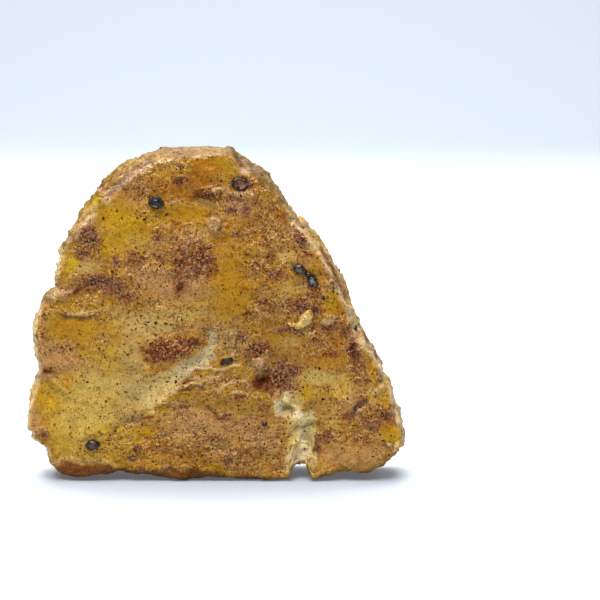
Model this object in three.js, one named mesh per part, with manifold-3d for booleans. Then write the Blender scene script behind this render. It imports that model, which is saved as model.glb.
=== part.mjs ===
// A thick Japanese rice cracker: one piece of puffed, toasted dough with black sesame seeds baked into it.
// It stands on its long edge. +X is to the right of the shown face, +Y runs through the thickness to the
// back, and +Z is up. The origin is at the middle of the underside. All sizes are in millimetres.
import * as THREE from "three";
import { mergeVertices } from "three/addons/utils/BufferGeometryUtils.js";
import Module from "manifold-3d";

// Driving dimensions.
const HALF_WIDTH = 40.4;
const HEIGHT = 71;
const HALF_THICKNESS = 6.5;
const BEVEL = 2.1; // how far a face's edge stands in from the widest outline
const RIM_SQUARENESS = 2.3; // 2 gives an oval edge, and more gives a flatter wall
const RIM_FADE = 0.6; // how much of the bevel the rim's own unevenness takes to reach its full rise
// How much each face swells from its edge to its middle.
const PUFF = { at: [1, 31], reach: [32, 27], rise: 1.0 };

// How the skin's triangles are shared out: front face, back face, and the rim gets the rest.
const SKIN_DETAIL = 21;
const FRONT_SHARE = 0.43;
const BACK_SHARE = 0.27;

// The widest outline, clockwise from the top as seen from the front: [share of HALF_WIDTH, share of HEIGHT].
// It dips under the floor where the cracker stands, and the floor cuts it flat there.
const OUTLINE = [
  [0.03, 1.0], [0.087, 0.991], [0.124, 0.968], [0.2, 0.94], [0.248, 0.927], [0.325, 0.87], [0.404, 0.806],
  [0.495, 0.752], [0.589, 0.68], [0.671, 0.594], [0.71, 0.54], [0.775, 0.445], [0.864, 0.366],
  [0.895, 0.33], [0.894, 0.301], [0.931, 0.281], [0.956, 0.225], [0.988, 0.163], [0.998, 0.11],
  [0.965, 0.069], [0.896, 0.04], [0.814, 0.024], [0.68, 0.022], [0.598, 0.006], [0.537, -0.009],
  [0.349, -0.009], [0.21, -0.007], [0.07, -0.009], [-0.215, -0.008], [-0.322, 0.012], [-0.446, 0.025],
  [-0.569, 0.022], [-0.735, 0.007], [-0.842, 0.016], [-0.891, 0.042], [-0.913, 0.089], [-0.975, 0.127],
  [-0.999, 0.152], [-0.99, 0.246], [-0.966, 0.301], [-0.944, 0.323], [-0.955, 0.385], [-0.96, 0.477],
  [-0.929, 0.544], [-0.898, 0.573], [-0.856, 0.576], [-0.848, 0.621], [-0.802, 0.707], [-0.748, 0.754],
  [-0.705, 0.807], [-0.636, 0.869], [-0.54, 0.927], [-0.433, 0.966], [-0.3, 0.986], [-0.141, 0.994],
];
const CENTRE = [0.05 * HALF_WIDTH, 0.46 * HEIGHT]; // every point of the outline can be seen from here

// Low swells of the front face: [x, z], [reach across, reach up], rise.
const FRONT_SWELLS = [
  { at: [-6, 48], reach: [22, 17], rise: 0.8 }, // the domed upper half
  { at: [-30, 12], reach: [9, 9], rise: 0.45 }, // lower left corner
  { at: [31, 11], reach: [7, 7], rise: 0.9 }, // lower right lobe
  { at: [12.5, 22.5], reach: [5.5, 3], rise: -0.7 }, // scorched hollow beside the split
  { at: [9.8, 22.3], reach: [1.1, 1.0], rise: -1.9 }, // burst bubble in that hollow
  { at: [-9.8, 28.8], reach: [5, 2.4], rise: 0.55 }, // toasted blister
  { at: [-4.9, 46.9], reach: [5.5, 5], rise: 0.45 }, // toasted blister
  { at: [-0.1, 55.5], reach: [1.1, 1.4], rise: 0.8 }, // lump
  { at: [-32, 40.4], reach: [1.9, 1.5], rise: 1.0 }, // lump by the left nick
  { at: [24.1, 35.7], reach: [1.6, 1.0], rise: 0.7 }, // rough crumb
  { at: [5.4, 64.1], reach: [1.7, 1.5], rise: -0.7 }, // crater round a seed
  { at: [-7, 64.4], reach: [0.9, 0.9], rise: -0.7 }, // pinhole
  { at: [28.7, 17.9], reach: [2.6, 1.8], rise: 0.6 }, // knob on the lower right lobe
  { at: [35.3, 16.5], reach: [2.4, 1.8], rise: 0.5 },
];

// Grooves and wrinkles of the front face, each along a path of [x, z], with its half width and rise.
const CRACK_BAND = [[-16, 17.5], [-11.6, 20.8], [-7.3, 24.3], [-4, 26.2], [-1.4, 28], [-0.9, 32.5]];
const LONG_CREASE = [[-20, 13.2], [-16.1, 14.1], [-11.6, 16.3], [-5.3, 16.9], [-1.9, 16.3], [0.2, 13.9]];
const FRONT_GROOVES = [
  { path: CRACK_BAND, half: 2.1, rise: -0.9 },
  { path: LONG_CREASE, half: 0.8, rise: -0.55 },
  { path: [[-40, 23], [-37.4, 24.1], [-34, 24.1]], half: 0.9, rise: -1.0 },
  { path: [[-36.3, 22.9], [-34.2, 21.8], [-31, 19.6], [-28.5, 18.1]], half: 0.8, rise: 0.45 },
  { path: [[-36, 41.6], [-33.7, 41.9], [-31.6, 41.4], [-29.3, 41.2], [-24.6, 43]], half: 1.2, rise: -0.8 },
  { path: [[-7.7, 64.3], [-4.6, 61.2], [0, 60]], half: 0.9, rise: -0.5 },
  { path: [[1, 62.8], [2.4, 63.3], [3.5, 62.2], [5.6, 61.5], [7.4, 60.9]], half: 0.6, rise: 0.4 },
];

// Torn edges of thin layers: the skin stands higher to the right of the path's run, by rise at the edge
// and less with distance.
const TOP_LAYER = [[-6.4, 23.6], [-5.4, 24.4], [-3.3, 25], [-1.4, 24.6], [2.4, 25.6]];
const MIDDLE_LAYER = [[-9, 20.8], [-5.2, 22.2], [-2.9, 22.4], [0.3, 23.1], [3.5, 24.5], [6, 25.4]];
const LOW_LAYER = [[-12.5, 16.6], [-9.9, 19.6], [-6.5, 20.4], [-2.3, 20.3], [2.4, 21.7], [8, 22.3]];
const LEFT_LAYER = [[-24, 35.5], [-27.3, 35.4], [-32.3, 35.7], [-37.5, 35.9]];
const LOBE_LAYER = [[29.4, 15.6], [32.2, 18.2], [34.7, 20.9], [38.5, 22.6]];
const FRONT_LEDGES = [
  { path: TOP_LAYER, fade: 5, rise: 0.4 },
  { path: MIDDLE_LAYER, fade: 6, rise: 0.45 },
  { path: LOW_LAYER, fade: 9, rise: 0.5 },
  { path: LEFT_LAYER, fade: 3.5, rise: 0.5 },
  { path: LOBE_LAYER, fade: 5, rise: 0.7 },
];
const LEDGE_EDGE = 0.5; // the width over which a torn layer's edge rises
const LEDGE_ENDS = 0.15; // the share of a ledge's length over which it dies away at each end

// The split that runs up from the standing edge. Its floor lies deeper towards the foot, and its half width
// wanders by a share of itself.
const SPLIT = {
  path: [[13.2, 19], [14.6, 16.4], [17, 14.6], [19.2, 13], [19, 10], [18.7, 5.5], [18.3, 0]],
  half: 1.9,
  topDepth: 1.0,
  footDepth: 4.2,
  wander: 0.3,
  wanderSize: 2.5,
};
// The open arch at the foot of the split, as [x, z].
const ARCH = [[15.6, -2], [16.3, 0.4], [17.2, 2.4], [18.4, 2.9], [19.5, 2.7], [19.9, 0.5], [20.2, -2]];

// The back face was never split; it has a few broad swells and wrinkles.
const BACK_SWELLS = [
  { at: [-12, 40], reach: [15, 14], rise: 0.9 },
  { at: [16, 24], reach: [13, 10], rise: 0.8 },
  { at: [-20, 14], reach: [8, 6], rise: 0.6 },
  { at: [6, 60], reach: [7, 4], rise: -0.6 },
  { at: [2, 34], reach: [2.2, 1.8], rise: -0.9 },
  { at: [-28, 30], reach: [2.5, 2], rise: 0.7 },
];
const BACK_GROOVES = [
  { path: [[-30, 44], [-20, 30], [-6, 25], [6, 14]], half: 1.1, rise: -0.6 },
  { path: [[8, 52], [17, 42], [29, 33]], half: 1.0, rise: -0.55 },
  { path: [[-34, 20], [-25, 23], [-17, 20]], half: 0.9, rise: 0.5 },
];

// Black sesame seeds baked into the faces: [x, z], turn in degrees from level, lean, which lifts an edge, and
// size as a share of SEED.
const SEED = { length: 3.5, width: 2.5, thick: 1.3, taper: 0.7, sink: 0.15 };
const FRONT_SEEDS = [
  { at: [-12, 60.3], turn: 20, lean: 0, size: 1 },
  { at: [5.4, 64.1], turn: -15, lean: 0, size: 1.1 },
  { at: [17.5, 46.1], turn: -15, lean: 20, size: 0.95 },
  { at: [19.9, 44.3], turn: -35, lean: 10, size: 0.9 },
  { at: [2.2, 26.4], turn: 17, lean: 65, size: 0.9 },
  { at: [-26.1, 8.7], turn: 10, lean: 0, size: 0.9 },
  { at: [29, 33.3], turn: 40, lean: 0, size: 0.6 },
  { at: [10.4, 12.8], turn: 0, lean: 50, size: 0.45 },
  { at: [30.2, 16.4], turn: 35, lean: 25, size: 0.85 },
  { at: [-32.6, 45.2], turn: 70, lean: 30, size: 0.8 },
];
const BACK_SEEDS = 9;
const BACK_SEED_SPREAD = [0.66 * HALF_WIDTH, 0.3 * HEIGHT]; // their farthest from the middle, across and up
const GOLDEN_ANGLE = Math.PI * (3 - Math.sqrt(5));

// The raised flake of dough near the right edge.
const FLAKE = { at: [18.4, 35], size: [2.6, 1.5, 1.7], turn: 25 };

const rad = THREE.MathUtils.degToRad;
const smooth = THREE.MathUtils.smoothstep;

// Repeatable lumpiness from -1 to 1: smooth between values hashed from whole-number lattice points.
function hash(i, j, k) {
  const s = Math.sin(i * 127.1 + j * 311.7 + k * 74.7) * 43758.5453;
  return 2 * (s - Math.floor(s)) - 1;
}

// Separate layers of that lumpiness, for what should look unrelated.
const FRONT_LAYER = 0.5;
const BACK_LAYER = 20.5;
const SPLIT_LAYER = 40;
const SWAY_LAYER = 60;
const GAP_LAYER = 70;

function lumps(x, y, z) {
  const low = [x, y, z].map(Math.floor);
  const [u, v, w] = [x, y, z].map((value, axis) => smooth(value - low[axis], 0, 1));
  let sum = 0;
  for (const [di, wi] of [[0, 1 - u], [1, u]])
    for (const [dj, wj] of [[0, 1 - v], [1, v]])
      for (const [dk, wk] of [[0, 1 - w], [1, w]])
        sum += wi * wj * wk * hash(low[0] + di, low[1] + dj, low[2] + dk);
  return sum;
}

// Distance from a point to a path, which side it is on (1 to the right of the path's run), and the share of
// the path's length at its nearest place.
function nearPath(x, z, path) {
  const lengths = path.slice(1).map(([bx, bz], i) => Math.hypot(bx - path[i][0], bz - path[i][1]));
  const whole = lengths.reduce((sum, length) => sum + length, 0);
  let best = { distance: Infinity };
  let run = 0;
  lengths.forEach((length, i) => {
    const [ax, az] = path[i];
    const ux = (path[i + 1][0] - ax) / length;
    const uz = (path[i + 1][1] - az) / length;
    const along = THREE.MathUtils.clamp((x - ax) * ux + (z - az) * uz, 0, length);
    const distance = Math.hypot(x - ax - ux * along, z - az - uz * along);
    if (distance < best.distance)
      best = { distance, side: Math.sign((x - ax) * uz - (z - az) * ux), along: (run + along) / whole };
    run += length;
  });
  return best;
}

const swell = ({ at, reach, rise }, x, z) =>
  rise * Math.exp(-(((x - at[0]) / reach[0]) ** 2) - ((z - at[1]) / reach[1]) ** 2);

function groove({ path, half, rise }, x, z) {
  const { distance } = nearPath(x, z, path);
  return rise * Math.exp(-((distance / half) ** 2));
}

function ledge({ path, fade, rise }, x, z) {
  const { distance, side, along } = nearPath(x, z, path);
  const ends = smooth(along, 0, LEDGE_ENDS) * smooth(1 - along, 0, LEDGE_ENDS);
  const over = side * distance;
  return ends * rise * smooth(over, -LEDGE_EDGE, LEDGE_EDGE) * Math.exp(-Math.max(over, 0) / fade);
}

// The split's walls stand between 0.65 and 1.45 of its half width from its path.
function split(x, z) {
  const { distance, along } = nearPath(x, z, SPLIT.path);
  const uneven = lumps(x / SPLIT.wanderSize, SPLIT_LAYER, z / SPLIT.wanderSize);
  const half = SPLIT.half * (1 + SPLIT.wander * uneven);
  const depth = THREE.MathUtils.lerp(SPLIT.topDepth, SPLIT.footDepth, along);
  return -depth * (1 - smooth(distance, 0.65 * half, 1.45 * half));
}

// Lumpiness that both faces have: broad, middling and fine.
const FACE_LUMPS = [{ size: 11, rise: 0.45 }, { size: 5, rise: 0.28 }, { size: 2.6, rise: 0.16 }];
const faceLumps = (x, z, layer) =>
  FACE_LUMPS.reduce((sum, { size, rise }) => sum + rise * lumps(x / size, layer, z / size), 0);

const total = (shape, features, x, z) => features.reduce((sum, feature) => sum + shape(feature, x, z), 0);

const frontRelief = (x, z) =>
  faceLumps(x, z, FRONT_LAYER) + swell(PUFF, x, z) + split(x, z) + total(swell, FRONT_SWELLS, x, z) +
  total(groove, FRONT_GROOVES, x, z) + total(ledge, FRONT_LEDGES, x, z);

const backRelief = (x, z) =>
  faceLumps(x, z, BACK_LAYER) + swell(PUFF, x, z) + total(swell, BACK_SWELLS, x, z) +
  total(groove, BACK_GROOVES, x, z);

// The rim is uneven too. A seam between two layers of dough runs round it, sways and comes and goes.
const RIM_LUMPS = [{ size: 6, thick: 4, rise: 0.5 }, { size: 3, thick: 1.8, rise: 0.3 }];
const SEAM = { at: -1.2, sway: 1.3, swaySize: 9, half: 1.1, rise: -0.75, gapSize: 16 };
const STANDING = { calm: 0.3, height: 5 }; // the share of the unevenness left on the edge it stands on
function rimRelief(x, y, z) {
  const uneven = RIM_LUMPS.reduce(
    (sum, { size, thick, rise }) => sum + rise * lumps(x / size, y / thick, z / size), 0);
  const fromSeam = y - SEAM.at - SEAM.sway * lumps(x / SEAM.swaySize, SWAY_LAYER, z / SEAM.swaySize);
  const present = smooth(lumps(x / SEAM.gapSize, GAP_LAYER, z / SEAM.gapSize), -0.5, 0.3);
  const calm = THREE.MathUtils.lerp(STANDING.calm, 1, smooth(z, 0, STANDING.height));
  return calm * (uneven + present * SEAM.rise * Math.exp(-((fromSeam / SEAM.half) ** 2)));
}

const outlinePoints = OUTLINE.map(([across, up]) => new THREE.Vector3(across * HALF_WIDTH, 0, up * HEIGHT));
const outline = new THREE.CatmullRomCurve3(outlinePoints, true, "centripetal");
outline.arcLengthDivisions = 2000;
const centre = new THREE.Vector3(CENTRE[0], 0, CENTRE[1]);

// Where a direction from the middle of a ball goes on the cracker's skin. The ball's front cap becomes the
// front face, its back cap the back face, and the band between them the rim.
function skinPoint(direction) {
  const forward = -direction.y;
  const frontEdge = 1 - 2 * FRONT_SHARE;
  const backEdge = 2 * BACK_SHARE - 1;
  const turn = Math.atan2(direction.x, direction.z) / (2 * Math.PI);
  const widest = outline.getPointAt((turn + 1) % 1);
  const inward = centre.clone().sub(widest).normalize();
  const edge = widest.clone().addScaledVector(inward, BEVEL);
  if (forward >= frontEdge || forward <= backEdge) {
    const front = forward > 0;
    const reach = Math.sqrt((1 - Math.abs(forward)) / (1 - Math.abs(front ? frontEdge : backEdge)));
    const point = centre.clone().lerp(edge, reach);
    const relief = front ? frontRelief : backRelief;
    point.y = (front ? -1 : 1) * (HALF_THICKNESS + relief(point.x, point.z));
    return point;
  }
  const round = (Math.PI * (frontEdge - forward)) / (frontEdge - backEdge);
  const bulge = Math.sin(round) ** (2 / RIM_SQUARENESS);
  const level = Math.abs(Math.cos(round)) ** (2 / RIM_SQUARENESS);
  const front = round < Math.PI / 2;
  const relief = front ? frontRelief : backRelief;
  const point = widest.clone().addScaledVector(inward, BEVEL * (1 - bulge));
  point.y = (front ? -1 : 1) * level * (HALF_THICKNESS + relief(edge.x, edge.z));
  return point.addScaledVector(inward, -smooth(bulge, 0, RIM_FADE) * rimRelief(widest.x, point.y, widest.z));
}

function skinGeometry() {
  const geometry = new THREE.IcosahedronGeometry(1, SKIN_DETAIL);
  const position = geometry.getAttribute("position");
  for (let i = 0; i < position.count; i++) {
    const point = skinPoint(new THREE.Vector3().fromBufferAttribute(position, i).normalize());
    position.setXYZ(i, point.x, point.y, Math.max(point.z, 0));
  }
  return geometry;
}

// A sesame seed, tapered to one end, half sunk in a face. side is -1 on the front and 1 on the back.
function seedGeometry({ at, turn, lean, size }, side) {
  const geometry = new THREE.SphereGeometry(0.5, 6, 4);
  const position = geometry.getAttribute("position");
  for (let i = 0; i < position.count; i++)
    position.setZ(i, position.getZ(i) * (1 - SEED.taper * Math.max(position.getX(i), 0)));
  const depth = HALF_THICKNESS + (side < 0 ? frontRelief : backRelief)(...at);
  return geometry
    .scale(SEED.length * size, SEED.thick * size, SEED.width * size)
    .rotateX(rad(lean))
    .rotateY(-rad(turn))
    .translate(at[0], side * (depth - SEED.sink), at[1]);
}

// Seeds of the back, spread from its middle by the golden angle, each with its own turn, lean and size.
function backSeeds() {
  return Array.from({ length: BACK_SEEDS }, (_, i) => {
    const reach = Math.sqrt((i + 0.5) / BACK_SEEDS);
    const angle = i * GOLDEN_ANGLE;
    const across = reach * BACK_SEED_SPREAD[0] * Math.cos(angle);
    const up = reach * BACK_SEED_SPREAD[1] * Math.sin(angle);
    return {
      at: [centre.x + across, centre.z + up],
      turn: 90 * hash(i, 3, 1),
      lean: 25 * hash(i, 5, 1),
      size: 0.85 + 0.15 * hash(i, 7, 1),
    };
  });
}

function flakeGeometry() {
  const [length, rise, width] = FLAKE.size;
  return new THREE.DodecahedronGeometry(0.5)
    .scale(length, rise, width)
    .rotateY(-rad(FLAKE.turn))
    .translate(FLAKE.at[0], -HALF_THICKNESS - frontRelief(...FLAKE.at), FLAKE.at[1]);
}

function archGeometry() {
  const shape = new THREE.Shape(ARCH.map(([x, z]) => new THREE.Vector2(x, z)));
  return new THREE.ExtrudeGeometry(shape, { depth: 4 * HALF_THICKNESS, bevelEnabled: false })
    .rotateX(Math.PI / 2)
    .translate(0, 2 * HALF_THICKNESS, 0);
}

const wasm = await Module();
wasm.setup();

function toSolid(geometry) {
  geometry.deleteAttribute("normal");
  geometry.deleteAttribute("uv");
  const merged = mergeVertices(geometry, 1e-4);
  return new wasm.Manifold(new wasm.Mesh({
    numProp: 3,
    vertProperties: merged.getAttribute("position").array,
    triVerts: new Uint32Array(merged.index.array),
  }));
}

function toGeometry(solid) {
  const { vertProperties, triVerts } = solid.getMesh();
  return new THREE.BufferGeometry()
    .setAttribute("position", new THREE.BufferAttribute(vertProperties, 3))
    .setIndex(new THREE.BufferAttribute(triVerts, 1));
}

function crackerGeometry() {
  const toppings = [
    ...FRONT_SEEDS.map((seed) => seedGeometry(seed, -1)),
    ...backSeeds().map((seed) => seedGeometry(seed, 1)),
    flakeGeometry(),
  ];
  const crust = toSolid(skinGeometry()).subtract(toSolid(archGeometry()));
  const fused = toppings.reduce((solid, topping) => solid.add(toSolid(topping)), crust);
  const geometry = toGeometry(fused);
  geometry.computeVertexNormals();
  return geometry;
}

const toastedDough = new THREE.MeshStandardMaterial({ color: 0xb8843a, roughness: 0.5, metalness: 0 });
const cracker = new THREE.Mesh(crackerGeometry(), toastedDough);
cracker.name = "cracker";

const riceCracker = new THREE.Group();
riceCracker.add(cracker);
export default riceCracker;
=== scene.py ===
"""A thick Japanese rice cracker that stands on its long edge.

One piece of puffed, toasted dough under an uneven glaze, with black sesame seeds, ground pepper and a
split that shows the pale crumb. Shapes are worked out in millimetres and made in metres, in the frame of
the solid: +X to the right of the shown face, +Y through the thickness to the back, +Z up.
"""
import itertools
import math

import bpy
import numpy as np
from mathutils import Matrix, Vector


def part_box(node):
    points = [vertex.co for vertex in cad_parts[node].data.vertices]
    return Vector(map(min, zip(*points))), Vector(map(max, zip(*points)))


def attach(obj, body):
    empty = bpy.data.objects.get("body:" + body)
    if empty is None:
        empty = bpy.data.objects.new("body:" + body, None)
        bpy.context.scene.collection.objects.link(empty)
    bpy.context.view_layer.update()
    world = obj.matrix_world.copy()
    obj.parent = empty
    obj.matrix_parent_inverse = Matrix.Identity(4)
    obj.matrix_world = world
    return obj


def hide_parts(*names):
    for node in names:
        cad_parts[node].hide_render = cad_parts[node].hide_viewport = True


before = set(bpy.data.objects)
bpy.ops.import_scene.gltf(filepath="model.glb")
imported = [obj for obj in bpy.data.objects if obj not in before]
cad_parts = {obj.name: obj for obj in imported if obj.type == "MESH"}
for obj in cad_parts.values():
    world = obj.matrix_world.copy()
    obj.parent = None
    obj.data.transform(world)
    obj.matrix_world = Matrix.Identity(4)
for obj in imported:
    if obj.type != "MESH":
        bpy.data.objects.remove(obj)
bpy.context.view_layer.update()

MM = 0.001
CRACKER_LOW, CRACKER_HIGH = [np.array(corner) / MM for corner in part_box("cracker")]

# ---------------------------------------------------------------- the form, as the solid has it

HALF_WIDTH = 40.0
HEIGHT = 71
HALF_THICKNESS = 6.5
BEVEL = 2.1
RIM_SQUARENESS = 2.3
RIM_FADE = 0.6
PUFF = ((1, 31), (32, 27), 1.0)

# The widest outline, clockwise from the top: share of HALF_WIDTH, share of HEIGHT.
OUTLINE = [
    (0.03, 1.0), (0.087, 0.991), (0.124, 0.968), (0.2, 0.94), (0.248, 0.927), (0.325, 0.87), (0.404, 0.806),
    (0.495, 0.752), (0.589, 0.68), (0.671, 0.594), (0.708, 0.54), (0.768, 0.445), (0.852, 0.366),
    (0.882, 0.33), (0.884, 0.301), (0.92, 0.281), (0.946, 0.225), (0.982, 0.163), (0.996, 0.11),
    (0.965, 0.069), (0.896, 0.04), (0.814, 0.024), (0.68, 0.022), (0.598, 0.006), (0.537, -0.009),
    (0.349, -0.009), (0.21, -0.007), (0.07, -0.009), (-0.215, -0.008), (-0.322, 0.012), (-0.446, 0.025),
    (-0.569, 0.022), (-0.735, 0.007), (-0.842, 0.016), (-0.891, 0.042), (-0.913, 0.089), (-0.975, 0.127),
    (-0.999, 0.152), (-0.99, 0.246), (-0.966, 0.301), (-0.944, 0.323), (-0.955, 0.385), (-0.96, 0.477),
    (-0.929, 0.53), (-0.896, 0.556), (-0.852, 0.562), (-0.846, 0.606), (-0.802, 0.707), (-0.748, 0.754),
    (-0.703, 0.8), (-0.632, 0.86), (-0.534, 0.918), (-0.43, 0.958), (-0.3, 0.982), (-0.141, 0.992),
]
CENTRE = np.array([0.05 * HALF_WIDTH, 0.46 * HEIGHT])

# Low swells of the front face: place, reach across and up, rise.
FRONT_SWELLS = [
    ((-6, 48), (22, 17), 0.8),  # the domed upper half
    ((-30, 12), (9, 9), 0.45),  # lower left corner
    ((31, 11), (7, 7), 0.9),  # lower right lobe
    ((12.5, 22.5), (5.5, 3), -0.7),  # scorched hollow beside the split
    ((9.8, 22.3), (1.1, 1.0), -1.9),  # burst bubble in that hollow
    ((-9.8, 28.8), (5, 2.4), 0.55),  # toasted blister
    ((-4.9, 46.9), (5.5, 5), 0.45),  # toasted blister
    ((-0.1, 55.5), (1.1, 1.4), 0.8),  # lump
    ((-32, 40.4), (1.9, 1.5), 1.0),  # lump by the left nick
    ((24.1, 35.7), (1.6, 1.0), 0.7),  # rough crumb
    ((5.4, 64.1), (1.7, 1.5), -0.7),  # crater round a seed
    ((-7, 64.4), (0.9, 0.9), -0.7),  # pinhole
    ((28.7, 17.9), (2.6, 1.8), 0.6),  # knob on the lower right lobe
    ((35.3, 16.5), (2.4, 1.8), 0.5),
]

# Grooves and wrinkles of the front face: path, half width, rise.
CRACK_BAND = [(-16, 17.5), (-11.6, 20.8), (-7.3, 24.3), (-4, 26.2), (-1.4, 28), (-0.9, 32.5)]
LONG_CREASE = [(-20, 13.2), (-16.1, 14.1), (-11.6, 16.3), (-5.3, 16.9), (-1.9, 16.3), (0.2, 13.9)]
FRONT_GROOVES = [
    (CRACK_BAND, 2.1, -0.9),
    (LONG_CREASE, 0.8, -0.55),
    ([(-40, 23), (-37.4, 24.1), (-34, 24.1)], 0.9, -1.0),
    ([(-36.3, 22.9), (-34.2, 21.8), (-31, 19.6), (-28.5, 18.1)], 0.8, 0.45),
    ([(-36, 41.6), (-33.7, 41.9), (-31.6, 41.4), (-29.3, 41.2), (-24.6, 43)], 1.2, -0.8),
    ([(-7.7, 64.3), (-4.6, 61.2), (0, 60)], 0.9, -0.5),
    ([(1, 62.8), (2.4, 63.3), (3.5, 62.2), (5.6, 61.5), (7.4, 60.9)], 0.6, 0.4),
]

# Torn edges of thin layers: path, fade, rise. The skin stands higher to the right of the path's run.
TOP_LAYER = [(-6.4, 23.6), (-5.4, 24.4), (-3.3, 25), (-1.4, 24.6), (2.4, 25.6)]
MIDDLE_LAYER = [(-9, 20.8), (-5.2, 22.2), (-2.9, 22.4), (0.3, 23.1), (3.5, 24.5), (6, 25.4)]
LOW_LAYER = [(-12.5, 16.6), (-9.9, 19.6), (-6.5, 20.4), (-2.3, 20.3), (2.4, 21.7), (8, 22.3)]
LEFT_LAYER = [(-24, 35.5), (-27.3, 35.4), (-32.3, 35.7), (-37.5, 35.9)]
LOBE_LAYER = [(29.4, 15.6), (32.2, 18.2), (34.7, 20.9), (38.5, 22.6)]
FRONT_LEDGES = [
    (TOP_LAYER, 5, 0.4),
    (MIDDLE_LAYER, 6, 0.45),
    (LOW_LAYER, 9, 0.5),
    (LEFT_LAYER, 3.5, 0.5),
    (LOBE_LAYER, 5, 0.7),
]
LEDGE_EDGE = 0.5
LEDGE_ENDS = 0.15

# The ceiling of the open arch at the foot of the split.
ARCH = [(15.1, -2), (15.5, 0.8), (15.9, 3.0), (16.8, 3.8), (19.6, 3.9), (20.1, 1.6), (20.5, -2)]
ARCH_FADE = 10  # how far up the skin is drawn together to make room for the arch

# How far the front of the underside is lifted clear of the floor along x. Below 0 it is pressed onto it.
FOOT_LIFT = [
    (-37, 0.4), (-34.3, 0.9), (-32, 0.5), (-30, 0.1), (-28, -0.4), (-24, -0.2), (-21, 0.1), (-17, -0.9),
    (-15, -0.9), (-12.5, -0.6), (-9, 0.1), (-5, 0.6), (-2, 0.8), (0, 0.6), (5, 0.2), (10, 0), (14.8, 0.2),
    (21, 0.2), (25, 0.2), (30, 0.1), (33, 0.3), (35.6, 0.5), (36.1, 2.2), (36.7, 1), (37.2, 3), (37.7, 1.7),
    (38.2, 4), (38.7, 2.6), (39.1, 4.6), (39.6, 2.5),
]
FOOT_FADE = 8

BACK_SWELLS = [
    ((-12, 40), (15, 14), 0.9),
    ((16, 24), (13, 10), 0.8),
    ((-20, 14), (8, 6), 0.6),
    ((6, 60), (7, 4), -0.6),
    ((2, 34), (2.2, 1.8), -0.9),
    ((-28, 30), (2.5, 2), 0.7),
]
BACK_GROOVES = [
    ([(-30, 44), (-20, 30), (-6, 25), (6, 14)], 1.1, -0.6),
    ([(8, 52), (17, 42), (29, 33)], 1.0, -0.55),
    ([(-34, 20), (-25, 23), (-17, 20)], 0.9, 0.5),
]

# Layers of the lumpiness that should look unrelated.
FRONT_LAYER, BACK_LAYER, SWAY_LAYER, GAP_LAYER = 0.5, 20.5, 60, 70
FACE_LUMPS = [(11, 0.45), (5, 0.28), (2.6, 0.16)]
RIM_LUMPS = [(6, 4, 0.5), (3, 1.8, 0.3)]
SEAM_AT, SEAM_SWAY, SEAM_SWAY_SIZE, SEAM_HALF, SEAM_RISE, SEAM_GAP_SIZE = -1.2, 1.3, 9, 1.1, -0.75, 16
STANDING_CALM, STANDING_HEIGHT = 0.3, 5


def smooth(value, low=0.0, high=1.0):
    """0 below low, 1 above high and an S between them."""
    share = np.clip((value - low) / (high - low), 0, 1)
    return share * share * (3 - 2 * share)


def hashed(i, j, k):
    """A repeatable value from -1 to 1 for whole numbers i, j and k."""
    wave = np.sin(i * 127.1 + j * 311.7 + k * 74.7) * 43758.5453
    return 2 * (wave - np.floor(wave)) - 1


def lumps(x, y, z):
    """Repeatable lumpiness from -1 to 1, smooth between values hashed from whole-number lattice points."""
    low = [np.floor(value) for value in (x, y, z)]
    high_share = [smooth(value - floor) for value, floor in zip((x, y, z), low)]
    total = 0
    for corner in itertools.product((0, 1), repeat=3):
        weight = 1
        for step, share in zip(corner, high_share):
            weight = weight * (share if step else 1 - share)
        total = total + weight * hashed(*(floor + step for floor, step in zip(low, corner)))
    return total


def near_path(x, z, path):
    """Distance to a path, the side of it (1 to the right of its run) and how far along it, as a share."""
    corners = np.array(path, float)
    steps = np.diff(corners, axis=0)
    lengths = np.hypot(steps[:, 0], steps[:, 1])
    distance = np.full(x.shape, np.inf)
    side = np.zeros(x.shape)
    along = np.zeros(x.shape)
    run = 0.0
    for (start_x, start_z), step, length in zip(corners, steps, lengths):
        unit_x, unit_z = step / length
        reach = np.clip((x - start_x) * unit_x + (z - start_z) * unit_z, 0, length)
        gap = np.hypot(x - start_x - unit_x * reach, z - start_z - unit_z * reach)
        closer = gap < distance
        distance = np.where(closer, gap, distance)
        side = np.where(closer, np.sign((x - start_x) * unit_z - (z - start_z) * unit_x), side)
        along = np.where(closer, (run + reach) / lengths.sum(), along)
        run += length
    return distance, side, along


def swell(x, z, at, reach, rise):
    return rise * np.exp(-(((x - at[0]) / reach[0]) ** 2) - ((z - at[1]) / reach[1]) ** 2)


def groove(x, z, path, half, rise):
    distance, _, _ = near_path(x, z, path)
    return rise * np.exp(-((distance / half) ** 2))


def ledge(x, z, path, fade, rise, edge=LEDGE_EDGE):
    distance, side, along = near_path(x, z, path)
    ends = smooth(along, 0, LEDGE_ENDS) * smooth(1 - along, 0, LEDGE_ENDS)
    over = side * distance
    return ends * rise * smooth(over, -edge, edge) * np.exp(-np.maximum(over, 0) / fade)


def total(shape, features, x, z):
    return sum(shape(x, z, *feature) for feature in features)


def face_lumps(x, z, layer):
    return sum(rise * lumps(x / size, layer, z / size) for size, rise in FACE_LUMPS)


def front_relief(x, z):
    return (
        face_lumps(x, z, FRONT_LAYER) + swell(x, z, *PUFF) + torn_split(x, z)
        + total(swell, FRONT_SWELLS, x, z) + total(groove, FRONT_GROOVES, x, z)
        + total(ledge, FRONT_LEDGES, x, z)
    )


def back_relief(x, z):
    return (
        face_lumps(x, z, BACK_LAYER) + swell(x, z, *PUFF) + total(swell, BACK_SWELLS, x, z)
        + total(groove, BACK_GROOVES, x, z)
    )


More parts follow.
